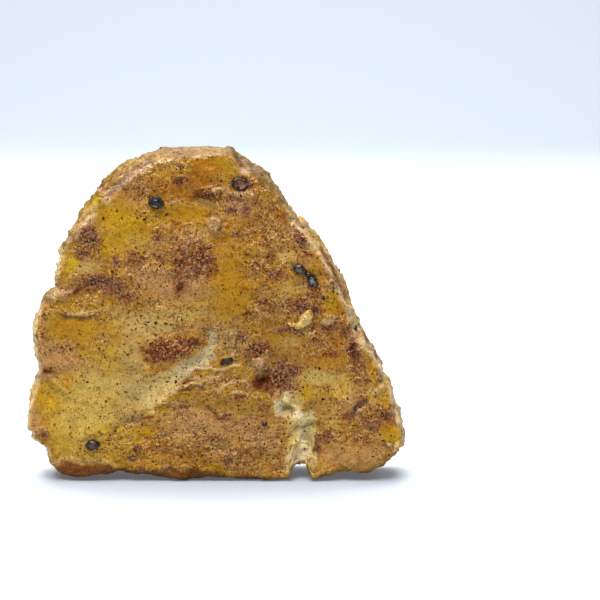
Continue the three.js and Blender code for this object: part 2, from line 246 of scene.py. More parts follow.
def rim_relief(x, y, z):
    uneven = sum(rise * lumps(x / size, y / thick, z / size) for size, thick, rise in RIM_LUMPS)
    from_seam = y - SEAM_AT - SEAM_SWAY * lumps(x / SEAM_SWAY_SIZE, SWAY_LAYER, z / SEAM_SWAY_SIZE)
    present = smooth(lumps(x / SEAM_GAP_SIZE, GAP_LAYER, z / SEAM_GAP_SIZE), -0.5, 0.3)
    calm = STANDING_CALM + (1 - STANDING_CALM) * smooth(z, 0, STANDING_HEIGHT)
    return calm * (uneven + present * SEAM_RISE * np.exp(-((from_seam / SEAM_HALF) ** 2)))


OUTLINE_STEPS = 2000


def outline_curve(turn):
    """Points of the closed centripetal curve through OUTLINE, turn running from 0 to 1."""
    knots = np.array(OUTLINE) * (HALF_WIDTH, HEIGHT)
    count = len(knots)
    first = np.floor(turn * count).astype(int)
    share = (turn * count - first)[:, None]
    before, start, end, after = (knots[(first + step) % count] for step in (-1, 0, 1, 2))
    pairs = (before, start), (start, end), (end, after)
    gaps = [np.sqrt(np.linalg.norm(b - a, axis=1))[:, None] for a, b in pairs]
    slope_in = gaps[1] * (
        (start - before) / gaps[0] - (end - before) / (gaps[0] + gaps[1]) + (end - start) / gaps[1])
    slope_out = gaps[1] * (
        (end - start) / gaps[1] - (after - start) / (gaps[1] + gaps[2]) + (after - end) / gaps[2])
    square = -3 * start + 3 * end - 2 * slope_in - slope_out
    cube = 2 * start - 2 * end + slope_in + slope_out
    return start + slope_in * share + square * share**2 + cube * share**3


def outline_at(share):
    """Points of the outline at these shares of its whole length, so that equal steps are equally long."""
    turns = np.linspace(0, 1, OUTLINE_STEPS + 1)
    corners = outline_curve(turns)
    lengths = np.concatenate([[0], np.cumsum(np.linalg.norm(np.diff(corners, axis=0), axis=1))])
    return outline_curve(np.interp(share, lengths / lengths[-1], turns) % 1)


# ---------------------------------------------------------------- the crust's fine mesh

SKIN_FREQUENCY = 97  # edges along each side of the ball's twenty faces: 20 times its square is the triangles
SKIN_FRONT, SKIN_BACK = 0.55, 0.19  # the shares of the triangles on the front and the back


def fine_ball(frequency):
    """Unit directions and triangles of an icosahedron, each face cut into frequency squared triangles."""
    golden = (1 + math.sqrt(5)) / 2
    corners = []
    for a, b in itertools.product((-1, 1), (-golden, golden)):
        corners += [(a, b, 0), (0, a, b), (b, 0, a)]
    corners = np.array(corners)
    edge = 2.0
    faces = []
    for i, j, k in itertools.combinations(range(12), 3):
        sides = [np.linalg.norm(corners[p] - corners[q]) for p, q in ((i, j), (j, k), (k, i))]
        if max(sides) < edge + 0.01:
            outward = np.dot(np.cross(corners[j] - corners[i], corners[k] - corners[i]), corners[i]) > 0
            faces.append((i, j, k) if outward else (i, k, j))
    grid = [(a, b) for a in range(frequency + 1) for b in range(frequency + 1 - a)]
    place = {ab: n for n, ab in enumerate(grid)}
    cells = []
    for a, b in grid:
        if a + b < frequency:
            cells.append((place[a, b], place[a + 1, b], place[a, b + 1]))
        if a + b < frequency - 1:
            cells.append((place[a + 1, b], place[a + 1, b + 1], place[a, b + 1]))
    grid = np.array(grid) / frequency
    cells = np.array(cells)
    points = []
    triangles = []
    for i, j, k in faces:
        triangles.append(cells + len(grid) * len(points))
        along, beside = corners[j] - corners[i], corners[k] - corners[i]
        points.append(corners[i] + grid[:, :1] * along + grid[:, 1:] * beside)
    points = np.concatenate(points)
    points /= np.linalg.norm(points, axis=1)[:, None]
    _, first, same = np.unique(np.round(points, 6), axis=0, return_index=True, return_inverse=True)
    return points[first], same.reshape(-1)[np.concatenate(triangles)]


def skin_points(direction):
    """Where each direction from the middle of a ball goes on the cracker's skin, in millimetres."""
    forward = -direction[:, 1]
    front_edge = 1 - 2 * SKIN_FRONT
    back_edge = 2 * SKIN_BACK - 1
    widest = outline_at(np.arctan2(direction[:, 0], direction[:, 2]) / (2 * math.pi) % 1)
    inward = CENTRE - widest
    inward /= np.linalg.norm(inward, axis=1)[:, None]
    edge = widest + inward * BEVEL
    on_face = (forward >= front_edge) | (forward <= back_edge)
    round_rim = math.pi * np.clip((front_edge - forward) / (front_edge - back_edge), 0, 1)
    front = round_rim < math.pi / 2
    cap = np.where(front, 1 - front_edge, 1 + back_edge)
    reach = np.sqrt(np.clip(np.where(front, 1 - forward, 1 + forward) / cap, 0, 1))[:, None]
    on_cap = CENTRE + (edge - CENTRE) * reach
    bulge = np.sin(round_rim) ** (2 / RIM_SQUARENESS)
    level = np.where(on_face, 1, np.abs(np.cos(round_rim)) ** (2 / RIM_SQUARENESS))
    flat = np.where(on_face[:, None], on_cap, widest + inward * (BEVEL * (1 - bulge))[:, None])
    foot = np.where(on_face[:, None], on_cap, edge)
    relief = np.where(front, front_relief(foot[:, 0], foot[:, 1]), back_relief(foot[:, 0], foot[:, 1]))
    y = np.where(front, -1, 1) * level * (HALF_THICKNESS + relief)
    outward = np.where(on_face, 0, smooth(bulge, 0, RIM_FADE) * rim_relief(widest[:, 0], y, widest[:, 1]))
    flat = flat - inward * outward[:, None]
    return np.stack([flat[:, 0], y, flat[:, 1]], axis=1)


def open_arch(points):
    """Draws the skin up over the arch at the foot of the split."""
    x, z = points[:, 0], points[:, 2]
    ceiling = np.maximum(np.interp(x, [p[0] for p in ARCH], [p[1] for p in ARCH]), 0)
    points[:, 2] = np.maximum(z, 0) + ceiling * np.clip(1 - z / ARCH_FADE, 0, 1)
    return points


def vertex_normals(points, triangles):
    a, b, c = (points[triangles[:, n]] for n in range(3))
    face = np.cross(b - a, c - a)
    normal = np.stack([
        sum(np.bincount(triangles[:, n], face[:, axis], len(points)) for n in range(3)) for axis in range(3)
    ], axis=1)
    return normal / np.maximum(np.linalg.norm(normal, axis=1), 1e-12)[:, None]


# ---------------------------------------------------------------- grain of the baked dough

GRAIN_APART, PEBBLES_APART = 17.3, 9.7  # how far apart their layers are, so that they look unrelated
GRAIN_STRENGTH = 1.6
PEBBLE_STRAY = 0.42  # how far the middle of a dome strays from the middle of its cell

GRAIN_TURNS = np.random.default_rng(11)
GRAIN_ORDER = GRAIN_TURNS.permutation(256)
GRAIN_SLOPES = GRAIN_TURNS.normal(size=(256, 3))
GRAIN_SLOPES /= np.linalg.norm(GRAIN_SLOPES, axis=1)[:, None]


def grain_hash(cell):
    i, j, k = (cell[:, axis] & 255 for axis in range(3))
    return GRAIN_ORDER[(GRAIN_ORDER[(GRAIN_ORDER[i] + j) & 255] + k) & 255]


def grain(points, size, layer=0, octaves=1):
    """Even roughness from about -1 to 1 whose largest grains are of this size; size may differ by axis."""
    value = np.zeros(len(points))
    strength = 1.0
    for octave in range(octaves):
        place = points / (np.array(size) / 2**octave) + GRAIN_APART * (layer + 3 * octave)
        cell = np.floor(place).astype(int)
        part = place - cell
        share = part**3 * (part * (part * 6 - 15) + 10)
        for corner in itertools.product((0, 1), repeat=3):
            step = np.array(corner)
            weight = np.prod(np.where(step, share, 1 - share), axis=1)
            slope = GRAIN_SLOPES[grain_hash(cell + step)]
            value += GRAIN_STRENGTH * strength * weight * np.sum(slope * (part - step), axis=1)
        strength /= 2
    return value


def pebbles(points, size, layer=0):
    """Domes packed side by side: 1 at the middle of each and 0 at the creases, and a value for each dome."""
    place = points / size + PEBBLES_APART * layer
    home = np.floor(place).astype(int)
    nearest = np.full(len(points), np.inf)
    which = np.zeros(len(points))
    for step in itertools.product((-1, 0, 1), repeat=3):
        cell = home + np.array(step)
        code = grain_hash(cell)
        middle = cell + 0.5 + PEBBLE_STRAY * GRAIN_SLOPES[code]
        gap = np.linalg.norm(place - middle, axis=1)
        closer = gap < nearest
        nearest = np.where(closer, gap, nearest)
        which = np.where(closer, code / 255, which)
    return np.clip(1 - nearest**2, 0, 1), which


# ---------------------------------------------------------------- places on the face, in millimetres

# The places below are as they look from in front, where what stands nearer looks spread out. The camera
# stands as far away and looks down by as much.
SEEN_FROM = 400
SEEN_DOWN = math.radians(10)
SEEN_MIDDLE = (17.8, 38.2)
SEEN_STRETCH = 1.01  # how much taller the places are written than they stand
SEEN_LIFT = 1.3


def seen(points):
    """Points whose x and z are where they look to be from in front."""
    x, y, z = points.T
    up = z - SEEN_MIDDLE[1]
    spread = SEEN_FROM / (SEEN_FROM + y * math.cos(SEEN_DOWN) - up * math.sin(SEEN_DOWN))
    risen = up * math.cos(SEEN_DOWN) + y * math.sin(SEEN_DOWN)
    across = SEEN_MIDDLE[0] + (x - SEEN_MIDDLE[0]) * spread
    height = SEEN_MIDDLE[1] + SEEN_LIFT + SEEN_STRETCH * risen * spread
    return np.stack([across, y, height], axis=1)


# Each patch: x, z, reach across, reach up, turn in degrees, strength.
# The first six lists give the dough its ground colour.
PALE = [
    (-23.5, 21, 7.5, 4.4, 0, 0.95), (-28, 15.5, 5.5, 4, 0, 0.5), (-19, 29.5, 3.4, 6.5, 8, 0.7),
    (-14.5, 34.4, 5, 2.6, 0, 0.85), (-17.5, 20, 3.6, 6, 0, 0.85), (-21, 36.6, 3, 1.8, 0, 0.4),
    (-28.4, 46.5, 3.4, 1.4, 0, 0.85), (-22, 14, 5, 2, 0, 0.6), (2.6, 33.4, 3.2, 2.4, 0, 0.8),
    (2.4, 29.6, 2.6, 2.2, 0, 0.7), (14.8, 29.6, 2.8, 1.9, 0, 0.6), (22.2, 22.7, 5, 1.5, 3, 1),
    (9, 26, 1.9, 1.3, 0, 1), (18.8, 32.4, 2, 0.6, 0, 0.9), (19.6, 26.8, 1.4, 1, 0, 0.4),
    (-6, 36.4, 6, 1.8, 0, 0.5), (14.6, 49, 2.6, 1.3, 0, 0.6), (-4, 60.2, 5, 0.6, 4, 0.5),
    (-9, 22.9, 2.8, 1.2, 15, 0.85), (17, 42.2, 3, 1.4, 0, 0.4), (-3, 54.4, 3.6, 1.4, 0, 0.5),
]
LEMON = [
    (-27.6, 17.6, 7.6, 4.6, 0, 1), (-33, 20.6, 4, 3, 0, 0.8), (-31, 12.2, 5, 4, 0, 1),
    (-24, 10.8, 6, 3.6, 0, 0.8), (-24, 27.6, 3.6, 3.6, 0, 0.9), (-20.6, 23.4, 2.6, 2, 0, 0.5),
    (-29, 7.4, 5, 2.4, 0, 0.7), (-4, 20.6, 7, 1.8, 8, 0.6), (-3, 12.6, 6, 1.8, 0, 0.5),
    (-8, 36.2, 4, 2, 0, 0.5), (12.6, 40.4, 3.4, 1.8, 0, 0.6), (-17, 52.6, 3.4, 2, 0, 0.5),
    (2, 24.4, 4, 0.8, 6, 0.8), (26.4, 21, 3, 2, 0, 0.6), (24.6, 45.4, 1.6, 3.4, 25, 0.4),
    (19.8, 19.8, 1.8, 1.4, 0, 0.5), (25.6, 19.6, 3.2, 1.6, 0, 0.8), (22, 23.4, 5, 1.2, 0, 0.6),
    (34.4, 19.4, 2.2, 2.4, 20, 0.8), (29.6, 20.8, 3, 1.6, 0, 0.5), (24.6, 12.8, 2.4, 1.2, 0, 0.5),
]
ROSY = [
    (-34.6, 27.4, 4.6, 3.4, 0, 0.95), (-31, 26, 3, 2.4, 0, 0.5), (-37.6, 31.5, 1.4, 4.6, 0, 0.3),
    (-9.5, 42.4, 8.5, 2.8, 0, 0.95), (-14, 45.4, 5, 1.8, 0, 0.85), (-13, 52.9, 2.6, 1.5, 0, 0.5),
    (-6.5, 53.2, 4.4, 1.8, 0, 0.8), (-3, 41.6, 4, 3, 0, 0.7), (4.6, 59.3, 4, 2.2, 0, 0.9),
    (-0.4, 55.8, 1.5, 2, 0, 0.7), (-38.6, 13.6, 1.2, 3.4, 0, 0.8), (-36.2, 23, 1.6, 0.4, -15, 0.8),
    (-3, 13.4, 9, 3.2, 0, 0.85), (-8, 10.6, 5, 2, 0, 0.5), (6.4, 12.4, 6, 2.8, 0, 0.85),
    (3, 7, 5, 3, 0, 0.6), (10, 8, 4, 3, 0, 0.6), (26, 6.2, 7, 3.2, 0, 0.8), (32, 6.6, 4, 2.6, 15, 0.8),
    (27, 16.8, 4, 2.4, 0, 0.6), (23.4, 15.8, 3.6, 2, 0, 0.7), (29.4, 18.6, 2.6, 1.6, 0, 0.5),
    (19.4, 53, 3.6, 2.2, -40, 0.9), (-16.6, 64.6, 3.4, 2, 20, 0.5), (-13, 69.6, 4, 0.8, 5, 0.7),
    (-5, 33.6, 3.4, 1.4, 0, 0.4), (-17.4, 60.3, 2.6, 1, 0, 0.5), (-22.4, 62.2, 1.6, 1.4, 30, 0.7),
    (12, 53.6, 3, 3, 0, 0.4), (19.6, 47.6, 1.6, 1.4, 0, 0.5),
]
HONEY = [
    (-22.4, 57.8, 3.8, 3, 0, 1), (-17.5, 55.4, 5.5, 3, 0, 0.95), (-22.6, 51.6, 2.6, 3, 0, 0.9),
    (-13, 56.4, 4, 1.6, 0, 0.8), (-7, 58, 4.6, 1.5, 3, 1), (-3.6, 57.4, 2.4, 1.8, 0, 0.7),
    (-31.5, 47.6, 1.8, 4, -8, 0.8), (-31, 33.2, 5, 2.4, 0, 0.8), (-25.4, 33.6, 5, 2.6, 0, 0.9),
    (-24.6, 28.8, 4, 3, 0, 0.85), (-29, 38.4, 6, 1.8, 0, 0.8), (-22.4, 24.2, 3, 1.6, 0, 0.4),
    (-33.4, 9.4, 3.4, 3.4, 0, 0.5), (-24, 6.6, 7, 2.6, 0, 0.8), (-20.4, 10.4, 5, 2.6, 0, 0.75),
    (-14, 11, 2.6, 1.4, 0, 0.8), (-8.4, 18.6, 4.6, 1.3, 6, 0.95), (-13.4, 16, 3.6, 1.6, 0, 0.6),
    (-3, 24, 2.6, 0.8, 8, 0.9), (4, 24.2, 4.2, 0.9, 4, 0.85), (5, 22.8, 5, 1.2, 6, 0.8),
    (1.4, 69, 3.2, 1.2, -14, 1), (8.2, 66.5, 1.8, 1, -38, 1), (-13.4, 67.4, 3.4, 1.3, 14, 0.8),
    (-8.4, 69.4, 2.6, 0.8, 0, 0.6), (12, 62, 2.6, 3, -40, 0.8), (2, 28, 2, 1.4, 0, 0.5),
    (7.6, 33.4, 2, 2.2, 0, 0.8), (5, 17.6, 6, 3, 0, 0.6), (22, 18.6, 5, 3, 0, 0.3),
    (19.4, 19.9, 1.5, 1.4, 0, 1), (25.4, 19.4, 2, 1.4, 0, 1), (35.6, 19.4, 2.2, 2.8, 20, 0.9),
    (33.4, 25.4, 2.6, 3, -40, 0.7), (24.6, 46, 1.6, 4.4, 25, 0.85), (25.6, 39.4, 2.4, 2.6, 0, 0.9),
    (22.8, 40.6, 2.4, 1.6, 0, 0.5), (38.4, 9.6, 1.4, 3.4, 0, 0.9), (31.2, 13, 1.4, 1.1, 0, 0.8),
    (24.6, 15.6, 2, 1.6, 0, 0.6), (11.4, 57.6, 2, 1.8, 0, 0.4), (3.4, 43, 4.6, 7, 0, 0.9),
    (-35.6, 18.6, 3, 4.4, 0, 0.8), (-33, 21.6, 2.4, 1.4, -25, 1), (-31, 22.8, 2, 0.8, -25, 0.6),
]
AMBER = [
    (-2.6, 67, 3.6, 3.8, 0, 1), (-8.4, 62.8, 5.4, 2.4, 0, 0.75), (-10, 54.8, 6, 2, 0, 0.6),
    (-14, 11.4, 4, 2, 0, 0.4), (-5.6, 19.6, 4.6, 1.4, 6, 0.5), (-14.6, 66, 4.6, 1.2, 14, 0.4),
    (-7, 58, 4, 1.4, 3, 0.4), (-32.6, 22.2, 2.2, 1.4, -25, 0.3), (-31.6, 33.8, 3.4, 1.6, 0, 0.6),
    (-25, 31.2, 6, 1, 0, 0.6), (-30.6, 39, 3.4, 0.9, 0, 0.9), (-25.8, 60.6, 0.9, 0.7, 0, 1),
    (3, 44.4, 4, 6, 0, 0.45), (3.4, 37.6, 3.6, 2.6, 0, 0.4), (5, 53.6, 5, 3, 0, 0.7),
    (-0.6, 50.6, 1.8, 4.6, 0, 0.5), (8.4, 42.6, 3, 4.4, 0, 0.4), (10.6, 56.4, 3, 2, 0, 0.5),
    (14.2, 57, 1.4, 1.6, 0, 1), (21.2, 49.4, 2.2, 1, -20, 1), (22.6, 46.6, 1.4, 2.6, 0, 0.7),
    (26, 30.2, 3, 3.4, 0, 1), (22, 27.2, 4.6, 1.9, 0, 0.85), (26.4, 35.6, 2.2, 2.6, 0, 0.8),
    (21.8, 31.4, 3, 2, 0, 0.6), (31.6, 25, 2, 1.6, -20, 0.9), (31.6, 21.4, 3.4, 1.6, 0, 0.6),
    (-3, 21.4, 4.4, 1, 6, 0.9), (1, 22.6, 2.6, 0.9, 0, 0.8), (4.6, 18.2, 2.6, 0.9, 0, 0.6),
    (5.8, 6.2, 2, 2.4, 0, 0.75), (-7, 5.4, 5, 1.6, 0, 0.7), (-13.4, 8.6, 3.4, 1.6, 0, 0.6),
    (14.2, 4.4, 1, 3, 0, 0.6), (34.6, 13.4, 3.4, 3, 0, 0.55), (-14.8, 21.9, 1.2, 0.5, -25, 0.9),
    (-30, 3.4, 4, 1.1, 0, 0.9), (30.4, 9, 3, 2, 0, 0.4), (16, 36, 3, 2, 0, 0.5),
    (12, 41.6, 2.6, 2.6, 0, 0.4),
]
BRIGHT = [
    (-36, 16.4, 1.7, 1.8, 0, 0.45), (-38.2, 20, 0.8, 1.6, 0, 0.5), (-14, 18.6, 1.6, 1.6, 0, 0.4),
    (19.4, 20, 1, 0.8, 0, 0.5), (8.3, 66.4, 1.2, 0.6, -38, 0.8), (-23, 58.6, 1.6, 1.2, 0, 0.5),
    (33.8, 25.4, 0.9, 1.8, -40, 0.6), (36.4, 19, 1.4, 2.4, 25, 0.5), (33.2, 24.6, 1.6, 1.2, -40, 0.6),
    (26, 19.4, 1.6, 0.8, 0, 0.35), (38.6, 10, 0.7, 2.4, 0, 0.4), (24.8, 46.4, 0.7, 3.4, 25, 0.6),
    (3.2, 24.6, 3, 0.35, 6, 0.6),
]

# Toasted blisters, where their brown turns to plum, and where they are scorched.
TOASTED = [
    (9, 22, 1.8, 1.3, 0, 1), (-8.2, 65.1, 1.1, 0.7, 20, 0.8), (-3.6, 61.8, 2.2, 0.7, -15, 0.7),
    (-12.4, 29, 3.4, 1.9, 6, 1), (-8.6, 29.4, 3.4, 1.7, 10, 1), (-10.6, 27.2, 3.6, 1.1, 10, 0.8),
    (-5.8, 29.9, 2, 1.2, 10, 0.9), (-5.4, 49.4, 4.2, 3, 0, 0.55), (-3, 46.6, 3.2, 3.2, 0, 0.65),
    (-7.8, 45, 2.2, 3.8, 0, 0.6), (-28, 53.6, 2.2, 1.7, 25, 0.95), (-26.2, 52, 2, 1.4, -20, 0.85),
    (-28.4, 49.6, 1.7, 1.3, 0, 0.7), (-21.4, 47.4, 1.1, 1.7, -20, 0.95), (-25.2, 43.2, 4.2, 1.7, -3, 1),
    (-21.8, 42.2, 2, 1.5, 0, 0.8), (-30.2, 41, 1.8, 0.6, 30, 0.9), (-18.6, 39.9, 2.6, 1, -10, 0.65),
    (-17.2, 48.2, 2.4, 1.8, 0, 0.6), (-12.9, 53, 1.7, 0.9, 25, 0.75), (-8.6, 56, 1.2, 0.5, 0, 0.75),
    (-12, 48.4, 1.2, 0.8, -20, 0.7), (-2.6, 62.3, 2.6, 0.9, -10, 0.85), (-16.4, 62.8, 1.6, 0.8, 0, 0.5),
    (-10.8, 63, 0.8, 0.6, 0, 0.6), (-7.8, 65.2, 1.1, 0.7, 0, 0.8), (-24.3, 63.8, 0.9, 1, 0, 0.8),
    (2.8, 59, 1.3, 0.9, 0, 0.75), (6.3, 58.4, 1.3, 1.3, 0, 0.8), (8.8, 60.8, 1, 0.8, 0, 0.6),
    (3.2, 61.4, 2.6, 0.7, -8, 0.6), (11.4, 58.8, 1.4, 0.7, 0, 0.5), (14.3, 57.6, 0.8, 0.9, 0, 0.7),
    (13.2, 54.4, 1, 0.9, 0, 0.6), (10.6, 51.6, 1.7, 1.3, 0, 0.45), (18, 52.6, 1.1, 2, 40, 0.9),
    (19.6, 49.4, 0.9, 0.8, 0, 0.7), (6.7, 48.9, 0.9, 0.7, 40, 0.8), (11.6, 48.6, 1.3, 1, 0, 0.75),
    (8.2, 46.2, 0.7, 1.9, 0, 0.7), (12.6, 44.8, 2.3, 1.5, 0, 0.75), (5.8, 41.6, 0.9, 0.5, 0, 0.6),
    (7, 37, 0.8, 0.7, 0, 1), (10.4, 38.4, 2.6, 1.6, 0, 0.4), (17.3, 38.4, 2, 1.3, 0, 0.85),
    (20.6, 37.3, 2, 0.8, 0, 1), (21, 41, 2.2, 1.3, 0, 0.55), (24.8, 42.4, 1, 0.8, 0, 0.7),
    (24, 44.6, 0.9, 0.9, 0, 0.6), (15.4, 33.2, 2.4, 0.7, 8, 0.8), (4.8, 31.5, 1.2, 0.9, 0, 0.85),
    (8.8, 29, 2.4, 1.5, 0, 1), (3.2, 34.2, 1.4, 0.6, 0, 0.4), (13.6, 22.8, 3.6, 2.8, 12, 1),
    (16.4, 24.6, 1.6, 1.5, 0, 0.7), (10.6, 20.4, 1.6, 1, -20, 0.95), (24, 28, 1.6, 1, 0, 0.7),
    (23.4, 33.4, 1.6, 0.7, 0, 0.6), (21.2, 30.6, 1.2, 0.8, 0, 0.5), (29.2, 28.6, 1.2, 2.3, 8, 1),
    (28.2, 32.6, 0.8, 1.6, 0, 0.9), (30.2, 21.8, 0.7, 0.5, 0, 0.85), (27.4, 14.8, 1.1, 0.8, 0, 0.85),
    (35.8, 14.4, 2.2, 1, -35, 0.9), (34, 16.2, 0.9, 0.6, 0, 0.8), (33.2, 12.4, 1.8, 1.4, 0, 0.55),
    (29.6, 10, 1.4, 1.2, 0, 0.6), (32, 9.6, 1.2, 0.8, 0, 0.5), (23, 10.4, 1.6, 0.9, 0, 0.85),
    (21.6, 7.6, 0.7, 1.3, 0, 0.8), (-8.6, 16, 1.8, 0.6, 5, 0.6), (-13.8, 14.2, 1.2, 0.4, 10, 0.7),
    (-16.4, 7.4, 0.9, 0.5, 30, 0.95), (-17.8, 5.5, 0.9, 0.6, 0, 0.8), (-12, 7.2, 3.6, 0.7, 0, 0.55),
    (-0.8, 9.6, 1.6, 0.8, 0, 0.7), (2.8, 4.4, 1.3, 1.4, 0, 0.6), (4.8, 6.4, 0.7, 1.3, 0, 0.5),
    (-36.6, 32.6, 0.6, 1.4, 0, 0.5), (-37, 24, 1.8, 0.5, -5, 0.85), (-35.6, 28.2, 0.6, 0.9, 0, 0.5),
    (-36.8, 10.4, 1.3, 1, -30, 0.95), (-37, 37.6, 0.8, 1.4, 0, 0.6), (-26, 10.2, 1.1, 0.6, 40, 0.6),
    (4.6, 18.5, 2.2, 0.35, 4, 0.8), (9.6, 16.2, 1.5, 0.5, 0, 0.5),
]
PLUM = [
    (-24, 43, 6, 3, 0, 1), (-27.6, 52.4, 4.4, 3.6, 0, 0.9), (-21.5, 46.8, 1.8, 3, 0, 0.9),
    (-7, 46, 3, 4, 0, 0.7), (-18.4, 40.4, 4, 1.8, 0, 0.9), (4.6, 59, 4, 2, 0, 0.9),
    (4.6, 31.4, 2.4, 1.6, 0, 1), (15, 23.4, 4.6, 3, 0, 0.8), (19, 37.4, 4, 1.6, 0, 0.9),
    (12, 45.4, 4, 3, 0, 0.8), (8.2, 47.4, 2, 3, 0, 0.8), (18, 52.6, 2, 3, 40, 0.8),
    (21, 42, 3, 1.8, 0, 0.7), (-37, 10.6, 3, 2, 0, 1), (-36.8, 33, 2, 4, 0, 0.7),
    (-18, 5.4, 2, 1.2, 0, 1), (-1, 9.4, 3, 1.6, 0, 0.9), (2.8, 4.4, 2.4, 2, 0, 0.8),
    (22.6, 9, 3, 3.6, 0, 0.9), (16, 33, 3, 1, 0, 0.9), (34.4, 14.6, 4, 3, 0, 0.8),
    (31, 10.4, 4, 2.4, 0, 0.7),
]
SCORCHED = [
    (-25.2, 43.2, 2.8, 0.9, -6, 0.4), (-27.7, 41.9, 0.6, 0.35, 0, 0.9), (-28.2, 53.9, 1, 0.6, 30, 0.5),
    (-26, 52.6, 1, 0.5, 0, 0.5), (-22.1, 45.4, 0.5, 0.5, 0, 1), (-7.9, 42.6, 0.9, 0.8, 0, 1),
    (-3.4, 45.6, 1.6, 1, 0, 0.4), (-3.4, 50.2, 0.9, 0.4, 0, 0.7), (-5, 29.7, 1.5, 1, 10, 0.7),
    (9.3, 22.2, 1.4, 1.1, 0, 1), (11, 20.2, 1, 0.6, 0, 0.7), (15.4, 24.8, 1.2, 0.7, 0, 0.6),
    (8, 29.4, 1, 0.6, 0, 0.5), (29.2, 28.6, 0.8, 1.6, 8, 0.8), (20.8, 37.2, 1, 0.5, 0, 0.8),
    (17.8, 37.6, 1, 0.6, 0, 0.6), (34.4, 16.2, 0.6, 0.4, -30, 0.7), (36, 13.8, 0.9, 0.4, -40, 0.6),
    (5.2, 64.6, 2.4, 1.8, 0, 0.85), (-7.9, 65.3, 0.5, 0.4, 0, 0.9), (20, 44.6, 2.4, 0.7, -30, 0.8),
    (17.3, 46.1, 2, 1.4, -10, 0.7), (30.3, 16.4, 2.2, 0.6, 42, 0.9), (10.4, 13, 0.5, 0.5, 0, 0.7),
    (27.4, 14.8, 0.5, 0.4, 0, 0.7), (18.6, 52, 0.6, 0.7, 0, 0.7), (-33.4, 39, 1, 0.3, 0, 0.8),
    (-12.8, 60.4, 1.7, 1.3, 0, 0.35),
]

# Where the crust is broken up into grains, where it is smooth, and where more pepper fell.
ROUGH = [
    (-28, 52, 3.6, 4, 0, 0.9), (-21.3, 47.4, 1.8, 2.2, 0, 0.8), (-15, 48, 5.4, 2.6, 0, 0.7),
    (-12.7, 53, 2.2, 1.3, 0, 0.8), (-6, 53, 4.4, 2, 0, 0.6), (-5, 47, 5, 4.8, 0, 1),
    (-24.5, 43, 5.4, 2.4, 0, 0.8), (-18.5, 40, 3.4, 1.6, 0, 0.7), (-2, 62.6, 3.4, 1.4, 0, 0.8),
    (-16, 63, 3.4, 1.8, 0, 0.6), (-8, 65.2, 1.8, 1.2, 0, 0.8), (-12.5, 69, 4.4, 1.2, 0, 0.7),
    (-7, 68.6, 2.6, 1, 0, 0.8), (-24, 62.6, 2, 2.4, 20, 0.7), (4.5, 60, 4.4, 2.6, 0, 0.6),
    (7, 64, 4.4, 2.2, 0, 0.9), (11, 58, 3, 3.6, 0, 0.6), (18, 53.4, 4, 3, -40, 1),
    (6, 53, 4.4, 2.6, 0, 0.6), (12, 53, 3.4, 3, 0, 0.6), (10.6, 46.6, 4.4, 3.6, 0, 0.8),
    (11.4, 38.6, 5, 3.4, 0, 0.8), (18.5, 37.8, 4, 2.2, 0, 1), (21, 41, 3.4, 2.4, 0, 0.6),
    (24.4, 43.6, 2.4, 3, 0, 0.6), (27, 35, 2.6, 3, 0, 0.6), (29.2, 30, 2.4, 5, 0, 1),
    (22, 29.6, 3.4, 2.6, 0, 0.7), (8.8, 29, 3.4, 2.2, 0, 1), (14, 23, 5, 3.8, 0, 1),
    (5, 31.4, 1.9, 1.3, 0, 0.7), (15.4, 33.4, 2.8, 1.2, 0, 0.7), (-9.4, 28.8, 7, 2.8, 6, 1),
    (-8, 16, 2.8, 1.2, 0, 0.8), (-2, 21.6, 5.4, 2, 0, 0.6), (4, 23.4, 4.4, 1.6, 0, 0.6),
    (31.4, 24, 3.4, 3.6, 0, 0.7), (34, 15, 4.4, 3, 0, 0.9), (31, 11, 4, 3, 0, 0.7),
    (23, 10, 2.6, 2.6, 0, 0.8), (26.6, 15, 2.6, 1.8, 0, 0.6), (4.4, 18.4, 3.6, 1.2, 0, 0.5),
    (-16.6, 6.6, 2.6, 1.8, 0, 0.8), (-9, 8, 6, 2.6, 0, 0.6), (5, 6, 5, 3.4, 0, 0.6),
    (-1, 9.8, 2.6, 1.8, 0, 0.6), (-37, 31, 1.6, 5, 0, 0.7), (-37, 10.8, 2, 1.6, 0, 0.9),
    (-17.6, 13.4, 4.6, 1, 0, 0.7), (-35.4, 37.4, 2.6, 2.4, 0, 0.6),
]
CALM = [
    (-22.2, 58, 4.4, 3.2, 0, 1), (-18, 55.2, 4, 2.6, 0, 0.7), (-7, 58, 4.4, 1.4, 0, 0.9),
    (-22.6, 51.6, 2, 2.6, 0, 0.7), (2.6, 41.6, 3.6, 6.4, 0, 0.7), (-3, 67.6, 3, 2.6, 0, 0.6),
    (-31, 33.2, 5, 2.4, 0, 0.9), (-35, 17.4, 4, 4.6, 0, 1), (-28, 16, 6, 5, 0, 1),
    (-22.4, 21, 7, 4, 0, 0.8), (-19, 30, 3.4, 6, 0, 0.8), (-14, 34.4, 4, 2, 0, 0.6),
    (-28.4, 46.5, 3.4, 1.4, 0, 0.9), (-11, 41.6, 6, 2.2, 0, 0.5), (14.6, 49, 2.4, 1.3, 0, 0.9),
    (14.2, 30, 3.4, 2.6, 0, 0.6), (22, 22.7, 4.6, 1.4, 0, 0.6), (25.6, 6, 5.6, 2.6, 0, 0.7),
    (-33, 9.6, 3, 3.4, 0, 0.7), (25.8, 39.2, 2, 2.2, 0, 0.6), (19.4, 20, 1.4, 1.2, 0, 0.8),
    (37.6, 9.6, 2, 3, 0, 0.7), (1.6, 69, 3, 1, 0, 0.8), (9, 26, 1.6, 1.1, 0, 0.5),
    (-34.4, 26.6, 3, 2.4, 0, 0.5),
]
